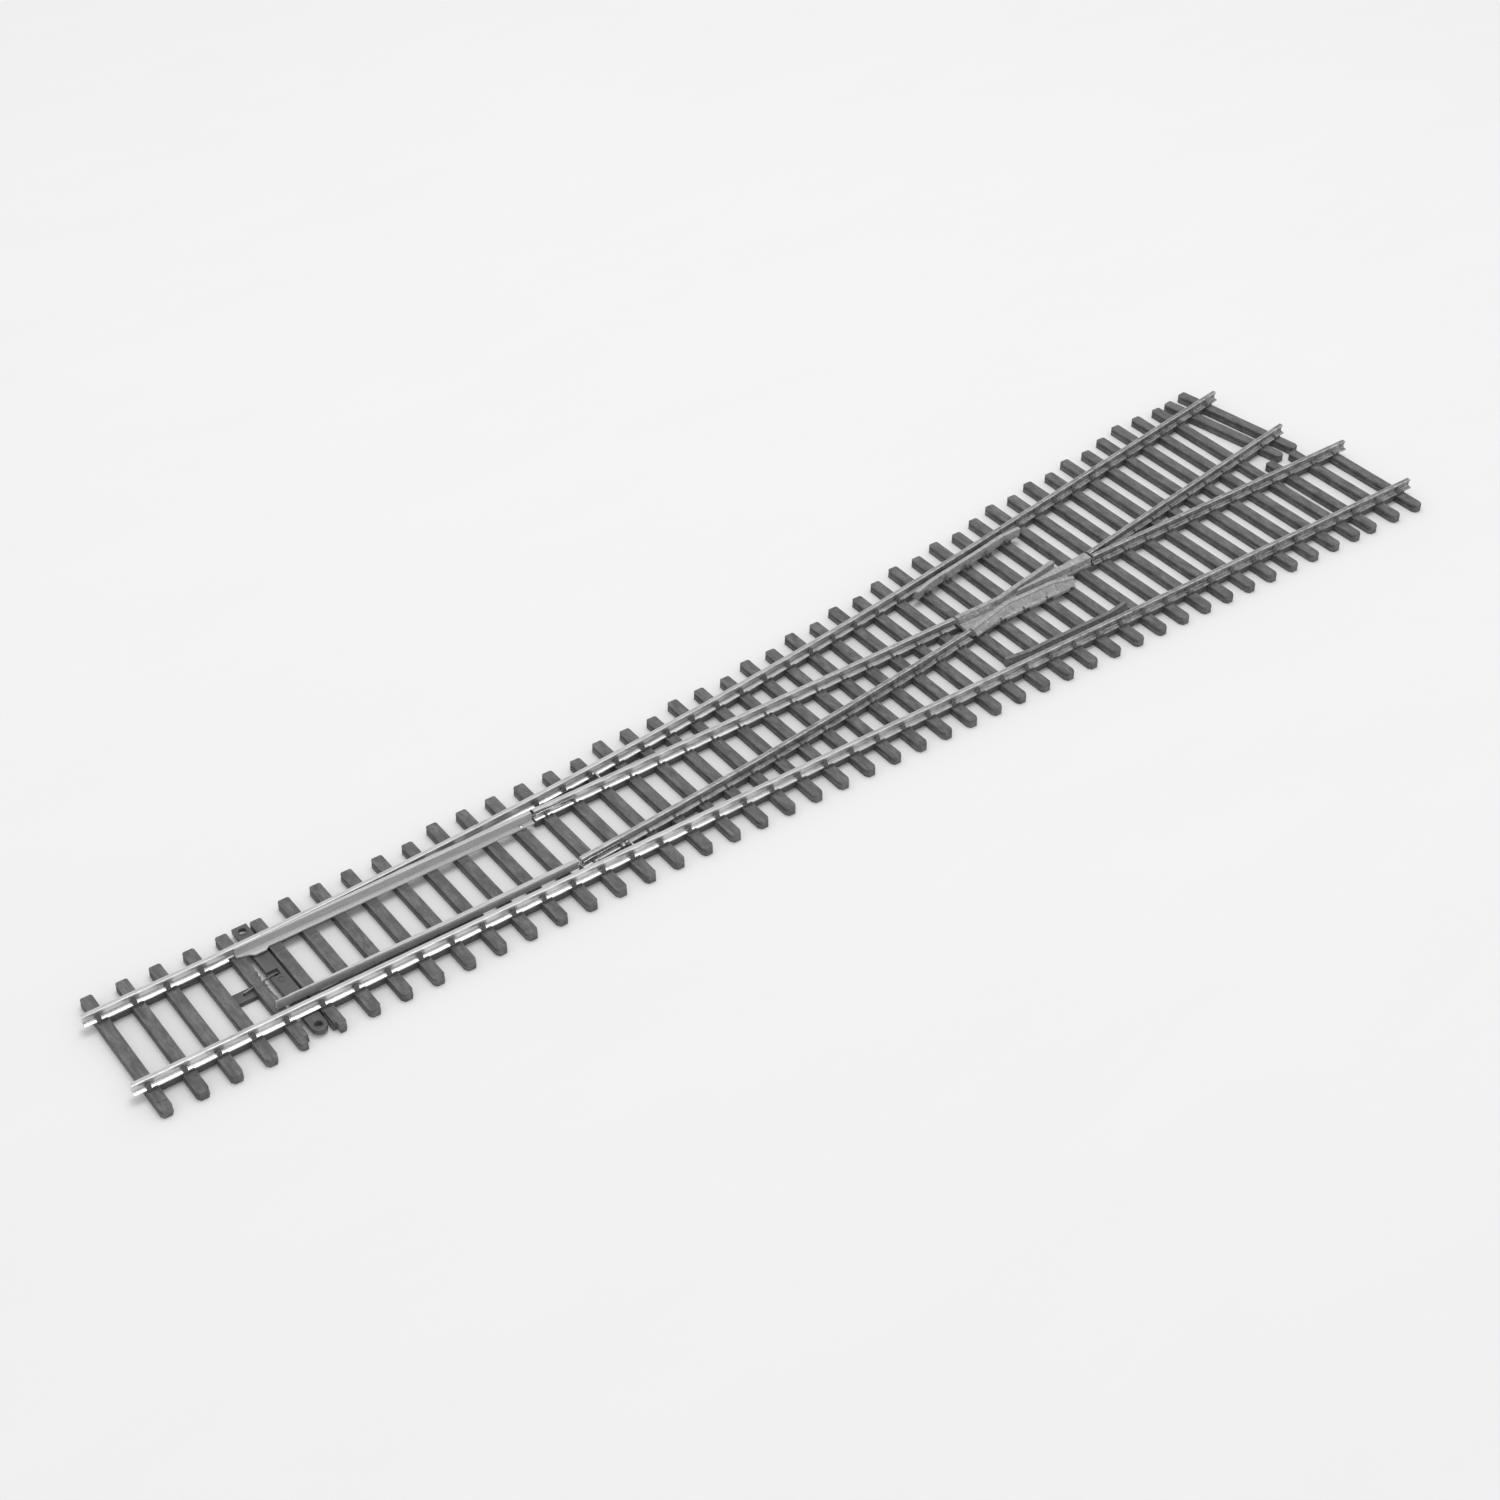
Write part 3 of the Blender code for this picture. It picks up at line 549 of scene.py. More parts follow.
def rail_steel(name, dimming_span):
    """Drawn rail, bright at the toe and darkened towards the heel between two stations; the
    darkening is painted shade in place of the reflections that brighten the toe, and the stains and
    flecks follow it.
    """
    values = settings("rails")
    shade, tarnish_and_shade = tuple(values.bright), tuple(values.tarnish_and_shade)
    finish = Finish(name, 0.8, 0.4, shade)
    lines = finish.group(grain_group(), Lines=(0.2, 3.0, 3.0), Waviness=0.1)
    patches = finish.group(patch_group(), Patch_Length=5.0, Cover=0.6)
    stains = finish.group(
        patch_group(), Patch_Length=3.0, Cover=0.5, Stretch=(1.0, 2.0, 2.0)
    )
    speckle = finish.group(speckle_group(), Grain_Size=0.8, Cover=0.52)
    # Painted shade: a mask that darkens the rail from toe to heel, in place of the toe's brighter
    # reflections
    heel_dimming = finish.along(*dimming_span)
    stained = math_node(finish.tree, "MULTIPLY", stains["Mask"], heel_dimming)
    flecked = math_node(finish.tree, "MULTIPLY", speckle["Mask"], heel_dimming)
    finish.tint(lines["Mask"], scaled(shade, 0.8), 0.4)
    finish.tint(patches["Mask"], tarnish_and_shade, 0.5)
    # Painted shade: the toe-to-heel darkening, towards the dull colour
    finish.tint(heel_dimming, tuple(values.dull), 0.9)
    finish.tint(stained, scaled(tarnish_and_shade, 0.45), 0.75)
    finish.tint(flecked, scaled(shade, 0.9), 0.5)
    # Painted shade: dark bands under the head and above the foot where the web lies in shade, and a
    # darker head top that dims its reflection; then a duller band along the foot
    finish.tint(finish.band(RAIL_SEAT + 0.5, 0.16), scaled(tarnish_and_shade, 0.4), 0.8)
    finish.tint(finish.band(RAIL_TOP - 0.56, 0.16), scaled(tarnish_and_shade, 0.4), 0.8)
    finish.tint(finish.band(RAIL_TOP, 0.07), scaled(tarnish_and_shade, 0.9), 0.45)
    finish.tint(finish.band(RAIL_SEAT + 0.25, 0.12), tarnish_and_shade, 0.3)
    # Edges brightened, partly as wear and partly as a painted highlight
    finish.brighten_edges(scaled(shade, 1.2), 0.9, 0.6)
    finish.roughen(heel_dimming, 0.28, 0.6)
    finish.raise_surface(lines["Height"], 1.0)
    return finish.done(0.01)


def bright_rail(name):
    """Rail whose painted darkening towards the heel starts past the switch."""
    return rail_steel(name, (100.0, 200.0))


def early_dimmed_rail(name):
    """Rail whose painted darkening towards the heel starts before the crossing."""
    return rail_steel(name, (60.0, 120.0))


def blade_sheet(name):
    """Satin sheet with faint drawing lines and bright rubbed edges."""
    shade = tuple(settings("switch").blade_colour)
    finish = Finish(name, 0.2, 0.55, shade)
    lines = finish.group(grain_group(), Lines=(0.2, 2.5, 2.5), Waviness=0.2)
    speckle = finish.group(speckle_group(), Grain_Size=0.35, Cover=0.5)
    finish.tint(lines["Mask"], scaled(shade, 0.75), 0.5)
    finish.tint(speckle["Mask"], scaled(shade, 1.4), 0.4)
    # Edges brightened, partly as wear and partly as a painted highlight
    finish.brighten_edges(scaled(shade, 1.8), 1.0, 0.9)
    finish.roughen(speckle["Mask"], 0.5, 0.68)
    finish.raise_surface(lines["Height"], 0.6)
    finish.raise_surface(speckle["Height"], 0.4)
    return finish.done(0.02)


def cast_metal(name, shade, amount):
    """Sand-textured casting with pale grains and bright rubbed edges."""
    finish = Finish(name, 0.25, 0.65, shade)
    speckle = finish.group(speckle_group(), Grain_Size=1.1, Cover=0.5)
    fine = finish.group(speckle_group(), Grain_Size=0.6, Cover=0.54)
    patches = finish.group(patch_group(), Patch_Length=5.0, Cover=0.52)
    finish.tint(speckle["Mask"], scaled(shade, 0.45), amount)
    finish.tint(fine["Mask"], scaled(shade, 2.3), amount)
    finish.tint(patches["Mask"], scaled(shade, 0.75), 0.5)
    # Edges brightened, partly as wear and partly as a painted highlight
    finish.brighten_edges(scaled(shade, 1.6), 0.9, 0.8)
    finish.roughen(fine["Mask"], 0.55, 0.75)
    finish.raise_surface(speckle["Height"], 1.0)
    finish.raise_surface(fine["Height"], 0.7)
    return finish.done(0.25)


def frog_metal(name):
    """The pale frog casting."""
    return cast_metal(name, tuple(settings("crossing").frog_colour), 0.6)


def check_metal(name):
    """The far check rail's grey casting."""
    return cast_metal(name, tuple(settings("crossing").check_colour), 0.6)


def shaded_check_metal(name):
    """The near check rail's casting, darkened as painted shade: a shaded copy of the check rail
    metal.
    """
    return cast_metal(name, scaled(tuple(settings("crossing").check_colour), 0.45), 0.5)


def bright_wire(name):
    """Bright wire, rivets, clips and solder."""
    shade = grey(0.72)
    finish = Finish(name, 1.0, 0.28, shade)
    speckle = finish.group(speckle_group(), Grain_Size=0.25, Cover=0.52)
    finish.tint(speckle["Mask"], scaled(shade, 0.55), 0.5)
    finish.roughen(speckle["Mask"], 0.22, 0.45)
    finish.raise_surface(speckle["Height"], 1.0)
    return finish.done(0.03)


def shaded_spring_metal(name):
    """Spring wire, darkened as painted shade so that it reads as the shaded slot it lies in."""
    shade = grey(0.12)
    finish = Finish(name, 0.8, 0.4, shade)
    speckle = finish.group(speckle_group(), Grain_Size=0.12, Cover=0.5)
    finish.tint(speckle["Mask"], scaled(shade, 1.8), 0.5)
    finish.roughen(speckle["Mask"], 0.3, 0.5)
    return finish.done(0.01)


def floor_paper(name):
    """Pale paper with hardly any pattern."""
    shade = tuple(settings("stage").floor_colour)
    finish = Finish(name, 0.0, 0.85, shade)
    patches = finish.group(patch_group(), Patch_Length=60.0, Cover=0.5)
    finish.tint(patches["Mask"], scaled(shade, 0.985), 0.5)
    return finish.done(0.01)


# ---------------------------------------------------------------- mesh helpers


def finish_mesh(mesh, smooth_angle=32.0):
    """Weld a mesh, face it outwards, mark its narrow convex faces for edge wear and painted edge
    highlights, and shade it.
    """
    work = bmesh.new()
    work.from_mesh(mesh)
    bmesh.ops.remove_doubles(work, verts=work.verts, dist=0.0005 * MM)
    bmesh.ops.recalc_face_normals(work, faces=work.faces)
    wear_and_highlight = work.faces.layers.float.get("wear_and_highlight") or work.faces.layers.float.new("wear_and_highlight")
    for face in work.faces:
        width = face.calc_area() / max(edge.calc_length() for edge in face.edges)
        turn = sum(edge.calc_face_angle_signed(0.0) for edge in face.edges)
        face[wear_and_highlight] = 1.0 if width < NARROW_FACE * MM and turn > 0.05 else 0.0
    work.to_mesh(mesh)
    work.free()
    mesh.shade_smooth()
    mesh.set_sharp_from_angle(angle=math.radians(smooth_angle))
    return mesh


def evaluated_mesh(item):
    """The mesh of an object with its modifiers applied, as a new mesh."""
    graph = bpy.context.evaluated_depsgraph_get()
    return bpy.data.meshes.new_from_object(item.evaluated_get(graph))


def add_piece(name, mesh, material, body, nodes=()):
    """Put a finished mesh in the scene on its body, with its finish, and hide the CAD parts that it
    stands in for.
    """
    mesh.name = name
    mesh.materials.clear()
    mesh.materials.append(material)
    item = linked(name, mesh)
    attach(item, body)
    if nodes:
        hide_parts(*nodes)
    return item


def prism(work, outline, base, top):
    """Add a closed prism in millimetres to a bmesh and return its vertices."""
    corners = [work.verts.new(Vector((x, y, base)) * MM) for x, y in outline]
    floor = work.faces.new(corners)
    raised = bmesh.ops.extrude_face_region(work, geom=[floor])["geom"]
    upper = [part for part in raised if isinstance(part, bmesh.types.BMVert)]
    for vertex in upper:
        vertex.co.z = top * MM
    bmesh.ops.recalc_face_normals(work, faces=work.faces)
    return corners + upper


def rectangle(low_x, low_y, high_x, high_y):
    """The corners of a rectangle, anticlockwise."""
    return [(low_x, low_y), (high_x, low_y), (high_x, high_y), (low_x, high_y)]


def round_edges(work, width, segments=2, above=None):
    """Bevel a bmesh's sharp edges, or only those above a level, by a width in millimetres."""
    sharp = [edge for edge in work.edges if edge.calc_face_angle(0.0) > math.radians(30)]
    if above is not None:
        sharp = [e for e in sharp if max(v.co.z for v in e.verts) > above * MM]
    bmesh.ops.bevel(
        work, geom=sharp, offset=width * MM, segments=segments, affect="EDGES", profile=0.5
    )


def to_mesh(work, name):
    """A bmesh as a new mesh; the bmesh is freed."""
    mesh = bpy.data.meshes.new(name)
    work.to_mesh(mesh)
    work.free()
    return mesh


def linked(name, data):
    """A new object in the scene that holds a mesh, curve, light or camera."""
    item = bpy.data.objects.new(name, data)
    bpy.context.scene.collection.objects.link(item)
    return item


def arc(centre, radius, start, end, steps):
    """Points of an arc in plan, its angles in degrees."""
    points = []
    for step in range(steps + 1):
        angle = math.radians(start + (end - start) * step / steps)
        points.append((centre[0] + radius * math.cos(angle), centre[1] + radius * math.sin(angle)))
    return points


def rounded(outline, radii, steps=3):
    """An outline whose corners are rounded, one radius a corner."""
    points = []
    count = len(outline)
    for index, radius in enumerate(radii):
        corner = Vector(outline[index])
        before = (Vector(outline[index - 1]) - corner).normalized()
        after = (Vector(outline[(index + 1) % count]) - corner).normalized()
        if radius == 0:
            points.append(tuple(corner))
            continue
        reach = radius / math.tan(before.angle(after) / 2)
        start, end = corner + before * reach, corner + after * reach
        for step in range(steps + 1):
            share = step / steps
            bend = start.lerp(corner, share).lerp(corner.lerp(end, share), share)
            points.append(tuple(bend))
    return points


# ---------------------------------------------------------------- geometry node trees


def geometry_tree(name, inputs):
    """A modifier tree with its named inputs; returns the tree and its input sockets."""
    tree = bpy.data.node_groups.new(name, "GeometryNodeTree")
    tree.is_modifier = True
    sockets = [("Geometry", "NodeSocketGeometry", None)] + inputs
    add_sockets(tree, sockets, [("Geometry", "NodeSocketGeometry")])
    return tree, tree.nodes.new("NodeGroupInput").outputs


def close_tree(tree, geometry, material):
    """End a tree in real geometry with its material."""
    real = add_node(tree, "GeometryNodeRealizeInstances", {"Geometry": geometry}).outputs[0]
    coated = add_node(
        tree, "GeometryNodeSetMaterial", {"Geometry": real, "Material": material}
    ).outputs[0]
    add_node(tree, "NodeGroupOutput", {0: coated})
    return tree


def named(tree, name, kind):
    """The value of a named attribute."""
    node = add_node(tree, "GeometryNodeInputNamedAttribute", {"Name": name}, data_type=kind)
    return next(socket for socket in node.outputs if socket.enabled)


def copied_on_points(tree, given):
    """Copies of a template turned to each point's heading, with a random tone for each copy."""
    shape = add_node(tree, "GeometryNodeObjectInfo", {"Object": given["Template"]})
    turned = add_node(
        tree, "ShaderNodeCombineXYZ", {"Z": named(tree, "heading", "FLOAT")}
    ).outputs[0]
    copies = add_node(
        tree,
        "GeometryNodeInstanceOnPoints",
        {
            "Points": given["Geometry"],
            "Instance": shape.outputs["Geometry"],
            "Rotation": turned,
        },
    ).outputs[0]
    tone = add_node(
        tree,
        "FunctionNodeRandomValue",
        {"Max": given["Tone Spread"], "Seed": given["Seed"]},
        data_type="FLOAT",
    )
    tone_value = next(socket for socket in tone.outputs if socket.enabled)
    stored = add_node(
        tree,
        "GeometryNodeStoreNamedAttribute",
        {"Geometry": copies, "Name": "tone"},
        data_type="FLOAT",
        domain="INSTANCE",
    )
    tree.links.new(tone_value, stored.inputs["Value"])
    return stored.outputs[0]


COPY_INPUTS = [
    ("Template", "NodeSocketObject", None),
    ("Tone Spread", "NodeSocketFloat", 0.5),
    ("Seed", "NodeSocketInt", 3),
    ("Material", "NodeSocketMaterial", None),
]


def fittings_tree():
    """Copies of one small fitting, each turned to run along its rail."""
    tree, given = geometry_tree("turnout_fittings", COPY_INPUTS)
    return close_tree(tree, copied_on_points(tree, given), given["Material"])


def sleepers_tree():
    """Copies of a short sleeper whose far half is drawn out to each point's own reach."""
    tree, given = geometry_tree("turnout_sleepers", COPY_INPUTS)
    copies = copied_on_points(tree, given)
    real = add_node(tree, "GeometryNodeRealizeInstances", {"Geometry": copies}).outputs[0]
    reach = add_node(
        tree,
        "ShaderNodeVectorMath",
        {0: named(tree, "reach", "FLOAT_VECTOR")},
        operation="SCALE",
    )
    tree.links.new(named(tree, "far_share", "FLOAT"), reach.inputs["Scale"])
    drawn = add_node(
        tree, "GeometryNodeSetPosition", {"Geometry": real, "Offset": reach.outputs[0]}
    ).outputs[0]
    return close_tree(tree, drawn, given["Material"])


def sweep_tree():
    """A section carried along every line of the input, kept upright, with closed ends."""
    inputs = [
        ("Section", "NodeSocketObject", None),
        ("Material", "NodeSocketMaterial", None),
    ]
    tree, given = geometry_tree("turnout_sweep", inputs)
    line = add_node(tree, "GeometryNodeMeshToCurve", {"Mesh": given["Geometry"]}).outputs[0]
    upright = add_node(
        tree, "GeometryNodeSetCurveNormal", {"Curve": line}, mode="Z_UP"
    ).outputs[0]
    section = add_node(tree, "GeometryNodeObjectInfo", {"Object": given["Section"]})
    swept = add_node(
        tree,
        "GeometryNodeCurveToMesh",
        {
            "Curve": upright,
            "Profile Curve": section.outputs["Geometry"],
            "Fill Caps": True,
        },
    ).outputs[0]
    return close_tree(tree, swept, given["Material"])


def run_tree(tree, item, values):
    """Run a tree on an object with its inputs set by identifier, and return the plain mesh."""
    modifier = item.modifiers.new("build", "NODES")
    modifier.node_group = tree
    for socket in tree.interface.items_tree:
        if socket.in_out == "INPUT" and socket.name in values:
            modifier[socket.identifier] = values[socket.name]
    bpy.context.view_layer.update()
    mesh = evaluated_mesh(item)
    item.modifiers.remove(modifier)
    bpy.data.objects.remove(item, do_unlink=True)
    if not mesh.polygons:
        raise RuntimeError(f"{tree.name} made nothing")
    return mesh


def point_cloud(name, rows, fields):
    """An object with one vertex a row, and the rows' other values as attributes."""
    mesh = bpy.data.meshes.new(name)
    mesh.from_pydata([row["at"] for row in rows], [], [])
    for field, kind in fields.items():
        layer = mesh.attributes.new(field, kind, "POINT")
        for index, row in enumerate(rows):
            if kind == "FLOAT_VECTOR":
                layer.data[index].vector = row[field]
            else:
                layer.data[index].value = row[field]
    return linked(name, mesh)


def line_object(name, paths, level=0.0):
    """An object that holds several plan lines as chains of edges."""
    points, edges = [], []
    for path in paths:
        first = len(points)
        points += [(point.x, point.y, level * MM) for point in path]
        edges += [(first + step, first + step + 1) for step in range(len(path) - 1)]
    mesh = bpy.data.meshes.new(name)
    mesh.from_pydata(points, edges, [])
    return linked(name, mesh)


def section_object(name, outline):
    """A closed section in millimetres as a curve object."""
    curve = bpy.data.curves.new(name, "CURVE")
    curve.dimensions = "2D"
    spline = curve.splines.new("POLY")
    spline.points.add(len(outline) - 1)
    for point, (across, up) in zip(spline.points, outline):
        point.co = (-across * MM, -up * MM, 0.0, 1.0)
    spline.use_cyclic_u = True
    return linked(name, curve)


def swept_mesh(name, paths, outline, material):
    """A section swept along plan lines."""
    section = section_object(name + "_section", outline)
    values = {"Section": section, "Material": material}
    mesh = run_tree(sweep_tree(), line_object(name + "_lines", paths), values)
    bpy.data.objects.remove(section, do_unlink=True)
    return mesh


def copies_mesh(name, tree, shape, rows, fields, material, tone_spread, seed):
    """Copies of a shape at every row, made by a tree."""
    source = linked(name + "_template", shape)
    values = {
        "Template": source,
        "Tone Spread": tone_spread,
        "Seed": seed,
        "Material": material,
    }
    mesh = run_tree(tree, point_cloud(name + "_points", rows, fields), values)
    bpy.data.objects.remove(source, do_unlink=True)
    return mesh


# ---------------------------------------------------------------- shapes


def sleeper_template():
    """A short sleeper with nipped corners and grooved sides, its far half marked."""
    values = settings("sleepers")
    half = values.width / 2 / MM
    near_nip, far_nip = END_CHAMFER, FAR_END_CHAMFER
    length = SHORT_SLEEPER
    outline = [
        (half, near_nip * 1.5),
        (half, length - far_nip),
        (half - far_nip, length),
        (far_nip - half, length),
        (-half, length - far_nip),
        (-half, near_nip * 1.5),
        (near_nip - half, 0.0),
        (half - near_nip, 0.0),
    ]
    groove = values.groove / MM
    low, high = PLANK_GROOVE
    # Each ring's level, and how far its sides are drawn in
    levels = (
        (0.0, 0.0),
        (low - 0.04, 0.03),
        (low, groove),
        (high, groove),
        (high + 0.06, 0.04),
        (SLEEPER_TOP, values.draft / MM),
    )
    work = bmesh.new()
    rings = []
    for level, inset in levels:
        ring = []
        for across, along in outline:
            drawn_in = math.copysign(inset, across) if abs(across) == half else 0.0
            ring.append(work.verts.new(Vector((across - drawn_in, along, level)) * MM))
        rings.append(ring)
    for lower, upper in zip(rings, rings[1:]):
        for index in range(len(outline)):
            before = index - 1
            work.faces.new((lower[before], lower[index], upper[index], upper[before]))
    work.faces.new(rings[0][::-1])
    work.faces.new(rings[-1])
    round_edges(work, values.edge_round / MM, 2, above=1.3)
    share = work.verts.layers.float.new("far_share")
    for vertex in work.verts:
        if vertex.co.y > length / 2 * MM:
            vertex[share] = 1.0
            vertex.co.y -= length * MM
    return to_mesh(work, "sleeper_template")


def sleeper_rows():
    """Where each sleeper starts, which way it heads and how far it reaches."""
    rows = []
    for near, far in sleeper_lines():
        reach = far - near
        row = {"at": near.to_3d(), "reach": reach.to_3d()}
        row["heading"] = -math.atan2(reach.x, reach.y)
        rows.append(row)
    return rows


def cut_away(mesh, cutters):
    """Cut a mesh with several closed cutters, one after another."""
    item = linked("cut_piece", mesh)
    for cutter in cutters:
        tool = linked("cutter", cutter)
        modifier = item.modifiers.new("cut", "BOOLEAN")
        modifier.operation = "DIFFERENCE"
        modifier.solver = "EXACT"
        modifier.object = tool
        bpy.context.view_layer.update()
        cut = evaluated_mesh(item)
        item.modifiers.remove(modifier)
        item.data = cut
        bpy.data.objects.remove(tool, do_unlink=True)
    mesh = item.data
    bpy.data.objects.remove(item, do_unlink=True)
    return mesh


def notch(outline, base, top):
    """A cutter from an outline of stations and offsets between two levels."""
    work = bmesh.new()
    prism(work, outline, base, top)
    bmesh.ops.translate(work, verts=work.verts, vec=place(0.0, 0.0))
    return to_mesh(work, "notch")


def broken_edge(station, start, end, depth, steps, seed):
    """A ragged outline along a sleeper's edge, where the moulding has torn."""
    points = [(station + 0.5, start), (station + 0.5, end)]
    for step in range(steps + 1):
        offset = end + (start - end) * step / steps
        swing = noise_at((step * 0.71, seed, 0.0)) + 0.45
        bite = depth * max(0.1, swing) * math.sin(math.pi * step / steps)
        points.append((station + 0.02 - bite, offset))
    return points


def tie_bar_cutters():
    """Cutters for the steps, the shelf and the torn edge on the sleepers beside the tie bar."""
    near = SLEEPER_NEAR_END
    left, right = TOE_SLEEPERS[4], FIRST_AFTER_TIE_BAR
    edge = left + settings("sleepers").width / MM
    cuts = (
        (rectangle(left + 1.35, near - 1.0, left + 3.0, near + 1.35), -0.5),
        (rectangle(right - 0.5, near - 1.0, right + 0.7, near + 1.1), -0.5),
        (rectangle(right - 0.5, near + 1.0, right + 0.25, near + 4.2), 0.9),
        (broken_edge(edge, -4.2, 5.6, 0.75, 26, 4), -0.5),
    )
    return [notch(outline, base, 2.0) for outline, base in cuts]


def rail_outline():
    """The rail's section: rounded head, web with fillets and a thin sloping foot."""
    values = settings("rails")
    head, web, foot = (getattr(values, key) / 2 / MM for key in ("head", "web", "foot"))
    edge_top = RAIL_SEAT + 0.22
    foot_top = RAIL_SEAT + 0.4
    under_head = RAIL_TOP - 0.5
    right = [
        (foot, RAIL_SEAT),
        (foot, edge_top),
        (web, foot_top),
        (web, under_head),
        (head, under_head + 0.1),
        (head, RAIL_TOP),
    ]
    radii = [0.04, 0.05, 0.12, 0.12, 0.05, values.head_round / MM]
    left = [(-across, up) for across, up in reversed(right)]
    return rounded(right + left, radii + radii[::-1])


def trim_foot(mesh, side):
    """Draw in the foot on one side of a stock rail where a blade lies against its head."""
    start, end = place(FOOT_RELIEF[0], 0).x, place(FOOT_RELIEF[1], 0).x
    head = settings("rails").head / 2
    path = rail_line("near_stock_rail" if side > 0 else "far_stock_rail")
    for vertex in mesh.vertices:
        if start <= vertex.co.x <= end:
            centre = offset_at(path, vertex.co.x)
            across = (vertex.co.y - centre) * side
            if across > head - 0.02 * MM and vertex.co.z < (RAIL_SEAT + 0.6) * MM:
                vertex.co.y = centre + side * (head - 0.02 * MM)
    return mesh


def offset_at(path, x):
    """Where a plan line crosses an x, as y."""
    for before, after in zip(path, path[1:]):
        if before.x <= x <= after.x:
            return before.lerp(after, (x - before.x) / (after.x - before.x)).y
    return path[0].y if x < path[0].x else path[-1].y


def with_stations(path, stations):
    """A plan line with points added at some stations."""
    first, last = path[0].x, path[-1].x
    added = [place(station, 0).x for station in stations]
    extra = [Vector((x, offset_at(path, x))) for x in added if first < x < last]
    return sorted(list(path) + extra, key=lambda point: point.x)


def chair_template(rise, post, breadth=1.0):
    """Half a rail chair: a plate and two posts over the seat, one with a spike over the foot."""
    values = settings("chairs")
    foot = settings("rails").foot / 2 / MM
    reach = values.reach / MM
    half = values.length / 2 / MM
    spike = values.spike * breadth / 2 / MM
    gap = values.spike_gap / 2 / MM
    work = bmesh.new()
    plate_top = RAIL_SEAT + CHAIR_PLATE
    prism(work, rectangle(-half, foot - 0.3, half, foot + reach), SLEEPER_TOP - 0.1, plate_top)
    top = RAIL_SEAT + post
    for centre in (gap, -gap):
        low, high = centre - spike, centre + spike
        prism(work, rectangle(low, foot + 0.02, high, foot + 0.3), SLEEPER_TOP, top)
        if centre < 0:
            continue
        tongue = prism(
            work,
            rectangle(low + 0.03, foot - 0.5, high - 0.03, foot + 0.16),
            top - 0.2,
            top - 0.02,
        )
        for vertex in tongue:
            if vertex.co.y < (foot - 0.3) * MM:
                vertex.co.z += (rise - post) * MM
    round_edges(work, 0.03, 1)
    return to_mesh(work, "chair_template")


def chair_lines():
    """The lines that have chairs, in two sets, each with the sides its chairs are on."""
    near = rail_line("near_stock_rail")
    far = rail_line("far_stock_rail")
    both = (-1, 1)
    rails = {
        "near": (near, both),
        "far": (far, both),
        "straight_closure": (rail_line("straight_closure_rail"), both),
        "curved_closure": (rail_line("curved_closure_rail"), both),
        "straight_exit": (rail_line("straight_exit_rail"), both),
        "diverging_exit": (rail_line("diverging_exit_rail"), both),
    }
    castings = {
        "frog_near": (beside(plan_line(FROG_NEAR_EDGE), 0.9), (-1,)),
        "frog_far": (beside(plan_line(FROG_FAR_EDGE), -0.9), (1,)),
        "near_check": (beside(between(near, *CHECK_ZONE), 2.05), (1,)),
        "far_check": (beside(between(far, *CHECK_ZONE), -2.05), (-1,)),
    }
    return rails, castings


def chair_rows(chosen):
    """Places for half chairs along the chosen lines, at each sleeper, on their free sides."""
    rows = []
    rails, castings = chair_lines()
    lines = {**rails, **castings}
    clear = settings("chairs").clearance
    for sleeper in sleeper_lines():
        found = {name: crossing(line, sleeper) for name, (line, _) in lines.items()}
        found = {name: hit for name, hit in found.items() if hit}
        for name, (point, angle) in found.items():
            if name not in chosen:
                continue
            for side in lines[name][1]:
                if blocked(name, side, station_of(point)):
                    continue
                outward = Vector((-math.sin(angle), math.cos(angle))) * side
                others = [hit[0] for other, hit in found.items() if other != name]
                if any(0 < (other - point).dot(outward) < clear for other in others):
                    continue
                heading = angle if side > 0 else angle + math.pi
                rows.append({"at": point.to_3d(), "heading": heading})
    return rows


def blocked(name, side, station):
    """True where a blade or a check rail takes the space of a stock rail's inner chair."""
    inner = (name == "near" and side > 0) or (name == "far" and side < 0)
    in_blades = BLADE_ZONE[0] < station < BLADE_ZONE[1]
    in_checks = CHECK_ZONE[0] < station < CHECK_ZONE[1]
    if name.endswith("check"):
        return not CHECK_ZONE[0] + 1.5 < station < CHECK_ZONE[1] - 1.5
    return inner and (in_blades or in_checks)


def guard_outline(side):
    """Section of a check rail: upright towards its stock rail, raked on the other side."""
    outline = [
        (-0.35, RAIL_SEAT),
        (0.95, RAIL_SEAT),
        (0.95, RAIL_SEAT + 0.3),
        (0.42, RAIL_TOP - 0.55),
        (0.35, RAIL_TOP),
        (-0.35, RAIL_TOP),
    ]
    if side < 0:
        outline = [(-across, up) for across, up in reversed(outline)]
    radii = [0.04, 0.05, 0.06, 0.2, 0.12, 0.08]
    return rounded(outline, radii if side > 0 else radii[::-1])


def wing_lines():
    """Each wing rail's side, its line in plan and how far its skirt reaches."""
    entry = (rail_line("curved_closure_rail")[-1].y - CENTRE_Y) / MM + 0.1
    near = [(FROG_START, entry), (KNUCKLE, NEAR_WING_OFFSET), *NEAR_WING_FLARE]
    far = [(FROG_START, HALF_SPACING), (FAR_WING_END, HALF_SPACING)]
    return ("near", plan_line(near), 0.95), ("far", plan_line(far), 0.6)


def skirt_outline(reach):
    """Section of the raked fillet between a wing rail's head and the frog's floor."""
    base = FROG_FLOOR - 0.1
    edge = 0.38 + reach
    outline = [(-0.3, base), (-0.36, RAIL_TOP - 0.18), (-0.46, RAIL_TOP - 0.25)]
    outline += [(-edge, base + 0.16), (-edge, base)]
    return outline


def strip_outline():
    """Section of the moulded strip under a rail, a little narrower at its foot."""
    half = settings("sleepers").strip_width / 2 / MM
    outline = [(half - 0.08, 0.12), (half, SLEEPER_TOP - 0.15)]
    outline += [(-across, up) for across, up in reversed(outline)]
    return rounded(outline, [0.05] * 4, 1)


